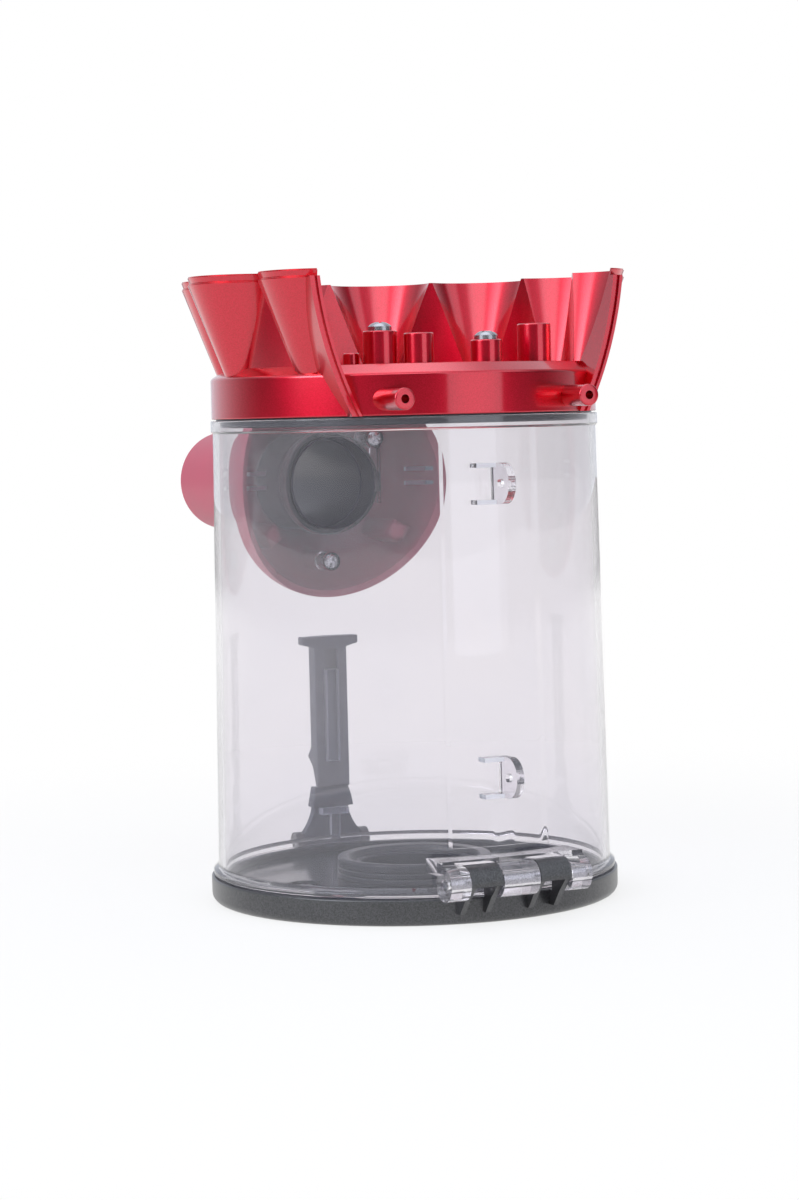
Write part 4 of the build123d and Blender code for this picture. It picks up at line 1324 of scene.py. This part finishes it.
    def build(self, shop: Workshop) -> None:
        """Build the crown as one closed mesh and hand it in with its screws and gasket.

        Args:
            shop: the workshop.
        """
        tree = self.lobe_tree()
        low = self.ring_top - self.ring_round
        ledge = self.top - self.lip_height
        steps = [(Cut.JOIN, self.form(shop, tree, 0, low, ledge - self.lip_round)),
                 (Cut.JOIN, self.form(shop, tree, -self.lip_round, low, ledge)),
                 (Cut.JOIN, self.form(shop, tree, -self.lip_inset, low, self.top - self.lip_round)),
                 (Cut.JOIN, self.form(shop, tree, -self.lip_inset - self.lip_round, low, self.top))]
        steps += [(Cut.JOIN, self.fin(side)) for side in (-1, 1)]
        steps.append((Cut.REMOVE, self.rear_gap()))
        steps += [(Cut.JOIN, self.boss(side)) for side in (-1, 1)]
        steps.append((Cut.REMOVE, self.under()))
        steps.append((Cut.REMOVE, self.bore()))
        steps.append((Cut.REMOVE, self.form(shop, tree, -self.wall, self.deck_top, self.top + self.wall)))
        steps += [(Cut.JOIN, self.post(*post)) for post in self.posts + (self.stub,)]
        steps += [(Cut.REMOVE, tool) for tool in self.holes()]
        shop.hand_in(carve(self.ring(), steps), "crown_cover")
        screwed = self.posts[:self.screwed_posts]
        seats = [(*self.post_place(angle), self.deck_top + height) for angle, _, height in screwed]
        screws = ScrewSet(head_radius=3.3, head_height=2.4, dome=1.3, shank_radius=1.3, shank_length=5.0, tilt_deg=0.0,
                          seed=3)
        screws.build(shop, "crown_screws", seats)
        shop.hand_in(self.gasket(), "top_gasket")


@dataclass
class Inlet:
    """Red inlet nose with its dark liner, the seal behind the liner and the screws that hold the nose."""

    axis_z: float = 118.9
    liner_start: float = 60.8
    liner_end: float = 136.0
    liner_radius: float = 14.7
    liner_bore: float = 13.5
    liner_rounds: Point = (0.4, 0.5)  # of the mouth's outer and inner edge
    foot_radius: float = 15.8
    foot_thickness: float = 2.0
    foot_round: float = 0.3
    seal_start: float = 59.0
    seal_rounds: Point = (0.4, 0.2)  # of the ring's outer edges and of its bore's edge
    lip_start: float = 51.2
    lip_radius: float = 14.15
    lip_bore: float = 13.75
    lip_round: float = 0.15

    def liner(self) -> bpy.types.Object:
        """Turn the dark liner of the inlet's tube, with its wider foot.

        Returns:
            The liner.
        """
        foot_top = self.liner_start + self.foot_thickness
        outer_round, inner_round = self.liner_rounds
        outline = rounded([
            (self.liner_bore, self.liner_start, self.foot_round), (self.foot_radius, self.liner_start, self.foot_round),
            (self.foot_radius, foot_top, self.foot_round), (self.liner_radius, foot_top, 0),
            (self.liner_radius, self.liner_end, outer_round), (self.liner_bore, self.liner_end, inner_round)])
        return lathe("inlet_duct_piece", outline, Along.Y, (0.0, self.axis_z))

    def seal(self) -> bpy.types.Object:
        """Turn the seal behind the liner, with the lip that lines the bin's spigot.

        Returns:
            The seal.
        """
        ring_round, bore_round = self.seal_rounds
        outline = rounded([
            (self.lip_bore, self.lip_start, self.lip_round), (self.lip_radius, self.lip_start, self.lip_round),
            (self.lip_radius, self.seal_start, 0), (self.foot_radius, self.seal_start, ring_round),
            (self.foot_radius, self.liner_start, ring_round), (self.lip_bore, self.liner_start, bore_round)])
        return lathe("duct_seal_piece", outline, Along.Y, (0.0, self.axis_z))

    def build(self, shop: Workshop, seats: list[Corner]) -> None:
        """Dress the nose, and build its liner, seal and screws.

        Args:
            shop: the workshop.
            seats: where the screw heads rest in the clear wall.
        """
        shop.hand_in(shop.copy("inlet_cowl"), "inlet_cowl")
        shop.hand_in(self.liner(), "inlet_duct")
        shop.hand_in(self.seal(), "duct_seal")
        screws = ScrewSet(head_radius=2.6, head_height=1.4, dome=0.6, shank_radius=1.3, shank_length=14.0,
                          tilt_deg=90.0, seed=8)
        screws.build(shop, "cowl_screws", seats)


@dataclass
class BaseFlap:
    """Grey base dish with hinge knuckles and catch ears, its glossy floor, seals, floor screws and pins."""

    radius: float = 59.0
    height: float = 7.5
    plate: float = 2.0
    wall: float = 2.0
    edge_round: float = 2.5
    rim_round: float = 0.5
    rim_bevel: Point = (0.3, 0.7)  # how far the bevel inside the rim goes down, and its tool goes up
    hinge: Point = (-63.2, 12.5)
    hinge_bore: float = 1.55
    knuckle_radius: float = 4.7
    knuckle_spans: tuple[Point, ...] = ((-15.2, -5.8), (5.8, 15.2))
    mouth_z: float = 11.7
    mouth_cut: float = 10.0
    leg_thickness: float = 1.6
    leg_root: float = -56.7
    leg_foot: Point = (-59.8, 3.4)
    catch: Point = (62.2, 8.5)
    catch_bore: float = 1.25
    bore_cut: float = 30.0
    ear_spans: tuple[Point, ...] = ((-12.6, -10.0), (10.0, 12.6))
    ear_radius: float = 3.0
    ear_root: float = 56.0
    floor_top: float = 5.6
    floor_radius: float = 56.9
    step_radius: float = 54.7
    step_z: float = 4.6
    floor_rounds: Point = (0.2, 0.4)  # of the step and of the top edge
    recess_radius: float = 5.0
    recess_depth: float = 1.6
    recess_round: float = 0.4
    recess_bevel: Point = (0.3, 0.5)  # how far the bevel round the recess goes down, and its tool goes up
    floor_screws: tuple[Point, ...] = ((-34.0, 2.0), (34.0, 2.0))
    screw_bore: float = 1.45
    screw_way: Point = (1.0, 3.0)  # heights between which the dish is bored for them
    seal_radius: float = 22.4
    seal_bore: float = 16.0
    seal_top: float = 11.8
    seal_step: float = 9.6
    seal_lip: Point = (3.2, 0.4)  # how far the lip's inner edge lies in from the outside and below the top
    seal_inset: float = 4.0
    seal_rounds: tuple[float, ...] = (0.2, 0.9, 0.5, 0.4)  # of its foot, its top, its lip and its bore
    groove_heights: Point = (7.3, 8.9)
    groove_half: float = 0.35
    groove_depth: float = 0.3
    groove_round: float = 0.1
    rim_seal_radii: Point = (54.8, 56.9)
    rim_seal_heights: Point = (4.6, 7.6)
    rim_seal_rounds: Point = (0.2, 0.6)
    catch_pin: Point = (1.2, 12.6)  # radius and half length
    hinge_pin: Point = (1.5, 21.2)  # radius and half length
    pin_round: float = 0.3

    def knuckle(self, low: float, high: float) -> bpy.types.Object:
        """Make one hook over the hinge pin with its two legs.

        Args:
            low: left end.
            high: right end.

        Returns:
            The hook as a closed mesh.
        """
        y, z = self.hinge
        r = self.knuckle_radius
        hook = prism("knuckle", circle(r, y, z), low, high, Along.X)
        below = rectangle(y - self.mouth_cut, y + self.mouth_cut, z - self.mouth_cut, self.mouth_z)
        steps = [(Cut.REMOVE, prism("mouth", below, low - PAST, high + PAST, Along.X))]
        foot_z = self.leg_foot[1]
        outline = [(y - r, z), (-self.radius, z), (-self.radius, self.height), (self.leg_root, self.height),
                   (self.leg_root, foot_z), self.leg_foot, (y, z - r)]
        for start in (low, high - self.leg_thickness):
            steps.append((Cut.JOIN, prism("leg", outline, start, start + self.leg_thickness, Along.X)))
        return carve(hook, steps)

    def cover(self) -> bpy.types.Object:
        """Make the dish with its knuckles and ears.

        Returns:
            The dish as a closed mesh.
        """
        inner = self.radius - self.wall
        dish = lathe("base_cover_piece", rounded([
            (0, 0, 0), (self.radius, 0, self.edge_round), (self.radius, self.height, self.rim_round),
            (0, self.height, 0)]))
        steps = [(Cut.JOIN, self.knuckle(low, high)) for low, high in self.knuckle_spans]
        y, z = self.catch
        r = self.ear_radius
        foot = [(self.ear_root, self.plate), (self.radius, self.plate), (y + r, z), (y - r, z), (y - r, self.height),
                (self.ear_root, self.height)]
        for low, high in self.ear_spans:
            steps.append((Cut.JOIN, prism("ear_foot", foot, low, high, Along.X)))
            steps.append((Cut.JOIN, prism("ear_round", circle(r, y, z), low, high, Along.X)))
        down, up = self.rim_bevel
        cavity = [(0, self.plate), (inner, self.plate), (inner, self.height - down),
                  (inner + down + up, self.height + up), (0, self.height + up)]
        steps.append((Cut.REMOVE, lathe("cavity", cavity)))
        for name, bore, centre in (("pin_bore", self.hinge_bore, self.hinge),
                                   ("catch_bore", self.catch_bore, self.catch)):
            steps.append((Cut.REMOVE, prism(name, circle(bore, *centre), -self.bore_cut, self.bore_cut, Along.X)))
        for centre in self.floor_screws:
            way = circle(self.screw_bore, *centre)
            steps.append((Cut.REMOVE, prism("screw_way", way, *self.screw_way, Along.Z)))
        return carve(dish, steps)

    def floor(self) -> bpy.types.Object:
        """Make the inner floor with its stepped rim and two screw recesses.

        Returns:
            The floor as a closed mesh.
        """
        step_round, top_round = self.floor_rounds
        plate = lathe("base_floor_piece", rounded([
            (0, self.plate, 0), (self.floor_radius, self.plate, 0), (self.floor_radius, self.step_z, step_round),
            (self.step_radius, self.step_z, 0), (self.step_radius, self.floor_top, top_round), (0, self.floor_top, 0)]))
        r = self.recess_radius
        bottom = self.floor_top - self.recess_depth
        down, up = self.recess_bevel
        recess = rounded([(0, bottom, 0), (r, bottom, self.recess_round), (r, self.floor_top - down, 0),
                          (r + down + up, self.floor_top + up, 0), (0, self.floor_top + up, 0)])
        steps = []
        for centre in self.floor_screws:
            steps.append((Cut.REMOVE, lathe("recess", recess, Along.Z, centre)))
            way = circle(self.screw_bore, *centre)
            steps.append((Cut.REMOVE, prism("screw_way", way, self.screw_way[0], self.floor_top, Along.Z)))
        return carve(plate, steps)

    def centre_seal(self) -> bpy.types.Object:
        """Turn the folded rubber ring in the middle of the floor.

        Returns:
            The ring.
        """
        r = self.seal_radius
        foot_round, top_round, lip_round, bore_round = self.seal_rounds
        outline = [(self.seal_bore, self.floor_top, 0), (r, self.floor_top, foot_round)]
        for groove in self.groove_heights:
            outline += [(r, groove - self.groove_half, self.groove_round),
                        (r - self.groove_depth, groove, self.groove_round),
                        (r, groove + self.groove_half, self.groove_round)]
        inset, drop = self.seal_lip
        outline += [(r, self.seal_top, top_round), (r - inset, self.seal_top - drop, lip_round),
                    (r - self.seal_inset, self.seal_step, lip_round), (self.seal_bore, self.seal_step, bore_round)]
        return lathe("centre_seal_piece", rounded(outline))

    def rim_seal(self) -> bpy.types.Object:
        """Turn the rubber ring under the bin's lower edge.

        Returns:
            The ring.
        """
        inner, outer = self.rim_seal_radii
        low, high = self.rim_seal_heights
        foot_round, top_round = self.rim_seal_rounds
        return lathe("rim_seal_piece", rounded([
            (inner, low, foot_round), (outer, low, foot_round), (outer, high, top_round), (inner, high, top_round)]))

    def pin(self, node: str, radius: float, half: float, centre: Point) -> bpy.types.Object:
        """Turn a plain pin along X with rounded ends.

        Args:
            node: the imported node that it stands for.
            radius: its radius.
            half: half its length.
            centre: its y and z.

        Returns:
            The pin.
        """
        outline = rounded([(0, -half, 0), (radius, -half, self.pin_round), (radius, half, self.pin_round),
                           (0, half, 0)])
        return lathe(f"{node}_piece", outline, Along.X, centre)

    def build(self, shop: Workshop) -> None:
        """Build every piece of the flap, and the pin that it hangs on, and hand them in.

        Args:
            shop: the workshop.
        """
        shop.hand_in(self.cover(), "base_cover")
        shop.hand_in(self.floor(), "base_floor")
        shop.hand_in(self.rim_seal(), "rim_seal")
        shop.hand_in(self.centre_seal(), "centre_seal")
        seats = [(x, y, self.floor_top - self.recess_depth) for x, y in self.floor_screws]
        screws = ScrewSet(head_radius=3.0, head_height=1.3, dome=0.6, shank_radius=1.4, shank_length=2.6, tilt_deg=0.0,
                          seed=5)
        screws.build(shop, "floor_screws", seats)
        shop.hand_in(self.pin("catch_pin", *self.catch_pin, self.catch), "catch_pin")
        shop.hand_in(self.pin("hinge_pin", *self.hinge_pin, self.hinge), "hinge_pin")


@dataclass
class ReleaseGear:
    """Push slider on the front wall and the bell-shaped catch that it wedges open."""

    slider_round: float = 0.35
    catch_round: float = 0.3

    def build(self, shop: Workshop) -> None:
        """Round the edges of both mouldings and hand them in."""
        shop.hand_in(soften(shop.copy("release_slider"), self.slider_round), "release_slider")
        shop.hand_in(soften(shop.copy("base_catch"), self.catch_round), "base_catch")


@dataclass(frozen=True)
class Panel:
    """One soft lamp: its place, what it faces, its width and height, its watts and the shares that fade."""

    name: str
    place: Corner
    aim: Corner
    size: Point
    power: float
    soft: Point = (0.6, 0.6)

    def hang(self, tone: str) -> None:
        """Make the lamp.

        Args:
            tone: colour of its light.
        """
        data = bpy.data.lights.new(self.name, "AREA")
        data.shape = "RECTANGLE"
        data.size = self.size[0] * MM
        data.size_y = self.size[1] * MM
        data.energy = self.power
        data.color = linear(tone)[:3]
        self.fade(data)
        lamp = bpy.data.objects.new(self.name, data)
        direction = (Vector(self.aim) - Vector(self.place)).normalized()
        lamp.rotation_euler = direction.to_track_quat("-Z", "Y").to_euler()
        lamp.location = Vector(self.place) * MM
        bpy.context.scene.collection.objects.link(lamp)

    def fade(self, data: bpy.types.AreaLight) -> None:
        """Let the lamp fade towards its edges, as the cloth of a soft box does.

        Args:
            data: the lamp.
        """
        data.use_nodes = True
        tree = data.node_tree
        tree.nodes.clear()
        spot = add_node(tree, "ShaderNodeSeparateXYZ", {0: add_node(tree, "ShaderNodeTexCoord").outputs["UV"]})
        fades = []
        for axis, share in zip("XY", self.soft):
            off = add_node(tree, "ShaderNodeMath", {0: spot.outputs[axis], 1: 0.5}, operation="SUBTRACT")
            away = add_node(tree, "ShaderNodeMath", {0: off.outputs["Value"]}, operation="ABSOLUTE")
            fades.append(add_node(tree, "ShaderNodeMapRange", {
                "Value": away.outputs["Value"], "From Min": 0.5 * (1 - share), "From Max": 0.5, "To Min": 1.0,
                "To Max": 0.0}, interpolation_type="SMOOTHSTEP").outputs["Result"])
        level = add_node(tree, "ShaderNodeMath", {0: fades[0], 1: fades[1]}, operation="MULTIPLY")
        glow = add_node(tree, "ShaderNodeEmission", {"Strength": level.outputs["Value"]})
        add_node(tree, "ShaderNodeOutputLight", {"Surface": glow.outputs["Emission"]})


PANELS = (
    Panel("left_panel", (-1057, -234, 620), (0, 0, 140), (930, 1072), 15.5),
    Panel("right_panel", (900, -700, 1050), (0, 0, 120), (858, 858), 2.4),
    Panel("top_panel", (0, 150, 1300), (0, 0, 100), (1287, 1287), 5.7),
    Panel("brow_panel", (-415, -870, 1015), (0, 0, 150), (1287, 686), 4.1),
    # tall panel beside the viewer; it fades along its height, so that no hard line shows down the spine
    Panel("strip_panel", (345, -1150, 480), (0, 0, 130), (800, 1300), 3.6, (0.05, 0.45)),
)


@dataclass(frozen=True)
class Ramp:
    """A smooth change between two levels: where it starts and ends, and the level at each end."""

    start: float
    end: float
    first: float
    last: float

    def inputs(self, value: bpy.types.NodeSocket) -> dict[str, object]:
        """Return the inputs of a Map Range node that follows the ramp."""
        return {"Value": value, "From Min": self.start, "From Max": self.end, "To Min": self.first,
                "To Max": self.last}


@dataclass
class Studio:
    """White studio: floor, soft lamps, world and the camera that matches the photograph."""

    azimuth_deg: float = -25.5
    distance_mm: float = 855.0
    eye_mm: float = 139.4
    aim_mm: float = 85.6
    aim_left_mm: float = 2.5
    roll_deg: float = 1.4
    lens_mm: float = 88.65
    sensor_mm: float = 36.0
    floor_mm: float = 9000.0
    floor_tone: str = "#f4f4f4"
    room_tone: str = "#f0f5ff"
    lamp_tone: str = "#f1f6ff"
    sky_way: Corner = (-0.25, 0.0, 1.0)
    wall_ramp: Ramp = Ramp(0.0, 0.95, 0.08, 0.9)  # room light, from the sides to the wall behind the object
    sky_ramp: Ramp = Ramp(0.35, 0.8, 0.0, 0.75)  # room light from above
    through_ramp: Ramp = Ramp(0.7, 0.97, 0.45, 0.94)  # what is seen through the bin, from the sides to behind it
    shadow_ramp: Ramp = Ramp(0.07, 0.4, 0.8, 1.0)  # seen floor, in metres from the middle
    near_ramp: Ramp = Ramp(0.3, 1.1, 0.85, 1.05)  # mirrored floor near the object, in metres
    far_ramp: Ramp = Ramp(1.3, 2.0, 1.0, 0.4)  # mirrored floor far from it, in metres

    def build(self) -> None:
        """Make the camera, world, lamps and floor."""
        self.make_camera()
        self.make_world()
        for panel in PANELS:
            panel.hang(self.lamp_tone)
        self.make_floor()
        bpy.context.scene.view_settings.view_transform = "Standard"

    def make_camera(self) -> None:
        """Place the camera at the photograph's viewpoint."""
        turn = math.radians(self.azimuth_deg)
        eye = Vector((math.sin(turn) * self.distance_mm, -math.cos(turn) * self.distance_mm, self.eye_mm)) * MM
        level_right = Vector((math.cos(turn), math.sin(turn), 0.0))
        aim = Vector((0, 0, self.aim_mm * MM)) - level_right * self.aim_left_mm * MM
        forward = (aim - eye).normalized()
        right = forward.cross(Vector((0, 0, 1))).normalized()
        up = right.cross(forward)
        roll = math.radians(self.roll_deg)
        rolled_up = up * math.cos(roll) + right * math.sin(roll)
        rolled_right = forward.cross(rolled_up)
        data = bpy.data.cameras.new("camera")
        data.lens = self.lens_mm
        data.sensor_width = self.sensor_mm
        camera = bpy.data.objects.new("camera", data)
        frame = Matrix((rolled_right, rolled_up, -forward)).transposed().to_4x4()
        camera.matrix_world = Matrix.Translation(eye) @ frame
        bpy.context.scene.collection.objects.link(camera)
        bpy.context.scene.camera = camera

    def seen_white(self, tree: bpy.types.NodeTree) -> tuple[bpy.types.NodeSocket, bpy.types.NodeSocket]:
        """Add the test for rays that see the surroundings directly or through the clear bin.

        Args:
            tree: tree of the world or the floor.

        Returns:
            Two outputs, for a direct ray and for one through the bin: 1 for such a ray, and 0 for scattered light.
        """
        path = add_node(tree, "ShaderNodeLightPath")
        scattered = add_node(tree, "ShaderNodeMath", {0: path.outputs[Ray.SCATTERED.value], 1: 0.5},
                             operation="GREATER_THAN")
        clear = add_node(tree, "ShaderNodeMath", {0: path.outputs[Ray.TRANSMISSION.value], 1: scattered.outputs[0]},
                         operation="SUBTRACT", use_clamp=True)
        return path.outputs[Ray.CAMERA.value], clear.outputs[0]

    def make_world(self) -> None:
        """White where seen directly or through the bin; for light and reflections, dimmer from the viewer's side."""
        world = bpy.data.worlds.new("studio")
        world.use_nodes = True
        tree = world.node_tree
        tree.nodes.clear()
        direct, clear = self.seen_white(tree)
        way = add_node(tree, "ShaderNodeTexCoord").outputs["Generated"]
        turn = math.radians(self.azimuth_deg)
        rear = add_node(tree, "ShaderNodeVectorMath", {0: way, 1: (-math.sin(turn), math.cos(turn), 0.0)},
                        operation="DOT_PRODUCT").outputs["Value"]
        wall = add_node(tree, "ShaderNodeMapRange", self.wall_ramp.inputs(rear), interpolation_type="SMOOTHSTEP")
        above = add_node(tree, "ShaderNodeVectorMath", {0: way, 1: self.sky_way},
                         operation="DOT_PRODUCT").outputs["Value"]
        sky = add_node(tree, "ShaderNodeMapRange", self.sky_ramp.inputs(above), interpolation_type="SMOOTHSTEP")
        room = add_node(tree, "ShaderNodeMath", {0: wall.outputs["Result"], 1: sky.outputs["Result"]},
                        operation="MAXIMUM")
        fade = add_node(tree, "ShaderNodeMapRange", self.through_ramp.inputs(rear), interpolation_type="SMOOTHSTEP")
        through = add_node(tree, "ShaderNodeMix", {0: clear, 2: room.outputs["Value"], 3: fade.outputs["Result"]})
        level = add_node(tree, "ShaderNodeMix", {0: direct, 2: through.outputs[0], 3: 1.0})
        seen = add_node(tree, "ShaderNodeMath", {0: direct, 1: clear}, operation="MAXIMUM")
        tone = add_node(tree, "ShaderNodeMix", {"Factor": seen.outputs["Value"], "A": linear(self.room_tone),
                                                "B": linear(WHITE)}, data_type="RGBA")
        glow = add_node(tree, "ShaderNodeBackground", {"Color": tone.outputs["Result"], "Strength": level.outputs[0]})
        add_node(tree, "ShaderNodeOutputWorld", {"Surface": glow.outputs["Background"]})
        bpy.context.scene.world = world

    def make_floor(self) -> None:
        """Pale floor that keeps the object's faint shadow, and shows the white below it and a flap that hangs there."""
        half = self.floor_mm / 2
        floor = mesh_piece("floor", [(-half, -half, 0), (half, -half, 0), (half, half, 0), (-half, half, 0)],
                           [[0, 1, 2, 3]])
        material, tree, output = new_material("studio_floor")
        path = add_node(tree, "ShaderNodeLightPath")
        mirror = add_node(tree, "ShaderNodeMath", {0: path.outputs[Ray.GLOSSY.value],
                                                   1: path.outputs[Ray.TRANSMISSION.value]},
                          operation="SUBTRACT", use_clamp=True).outputs["Value"]
        direct, clear = self.seen_white(tree)
        place = add_node(tree, "ShaderNodeTexCoord").outputs["Object"]
        reach = add_node(tree, "ShaderNodeVectorMath", {0: place}, operation="LENGTH").outputs["Value"]
        even = add_node(tree, "ShaderNodeMapRange", self.shadow_ramp.inputs(reach), interpolation_type="SMOOTHSTEP")
        white = add_node(tree, "ShaderNodeMath", {0: clear, 1: even.outputs["Result"]}, operation="MULTIPLY")
        share = add_node(tree, "ShaderNodeMath", {0: white.outputs["Value"], 1: mirror}, operation="MAXIMUM")
        near = add_node(tree, "ShaderNodeMapRange", self.near_ramp.inputs(reach), interpolation_type="SMOOTHSTEP")
        far = add_node(tree, "ShaderNodeMapRange", self.far_ramp.inputs(reach), interpolation_type="SMOOTHSTEP")
        sweep = add_node(tree, "ShaderNodeMath", {0: near.outputs["Result"], 1: far.outputs["Result"]},
                         operation="MULTIPLY")
        level = add_node(tree, "ShaderNodeMix", {0: mirror, 2: 1.0, 3: sweep.outputs["Value"]})
        matt = add_node(tree, "ShaderNodeBsdfDiffuse", {"Color": linear(self.floor_tone)})
        glow = add_node(tree, "ShaderNodeEmission", {"Color": linear(WHITE), "Strength": level.outputs[0]})
        mix = add_node(tree, "ShaderNodeMixShader", {0: share.outputs["Value"], 1: matt.outputs["BSDF"],
                                                     2: glow.outputs["Emission"]})
        sight = add_node(tree, "ShaderNodeMath", {0: direct, 1: even.outputs["Result"]}, operation="MULTIPLY")
        passing = add_node(tree, "ShaderNodeMath", {0: sight.outputs["Value"], 1: path.outputs[Ray.SHADOW.value]},
                           operation="MAXIMUM")
        sheet = add_node(tree, "ShaderNodeBsdfTransparent", {"Color": linear(WHITE)})
        whole = add_node(tree, "ShaderNodeMixShader", {0: passing.outputs["Value"], 1: mix.outputs["Shader"],
                                                       2: sheet.outputs["BSDF"]})
        tree.links.new(whole.outputs["Shader"], output.inputs["Surface"])
        floor.data.materials.append(material)


def main() -> None:
    """Build the studio, then every sub-assembly of the dust bin."""
    logging.basicConfig(level=logging.INFO, format="%(message)s")
    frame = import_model()
    Studio().build()
    shop = Workshop(frame)
    clear_bin = ClearBin()
    clear_bin.build(shop)
    Crown().build(shop)
    Inlet().build(shop, clear_bin.screw_seats())
    BaseFlap().build(shop)
    ReleaseGear().build(shop)


if __name__ == "__main__":
    main()
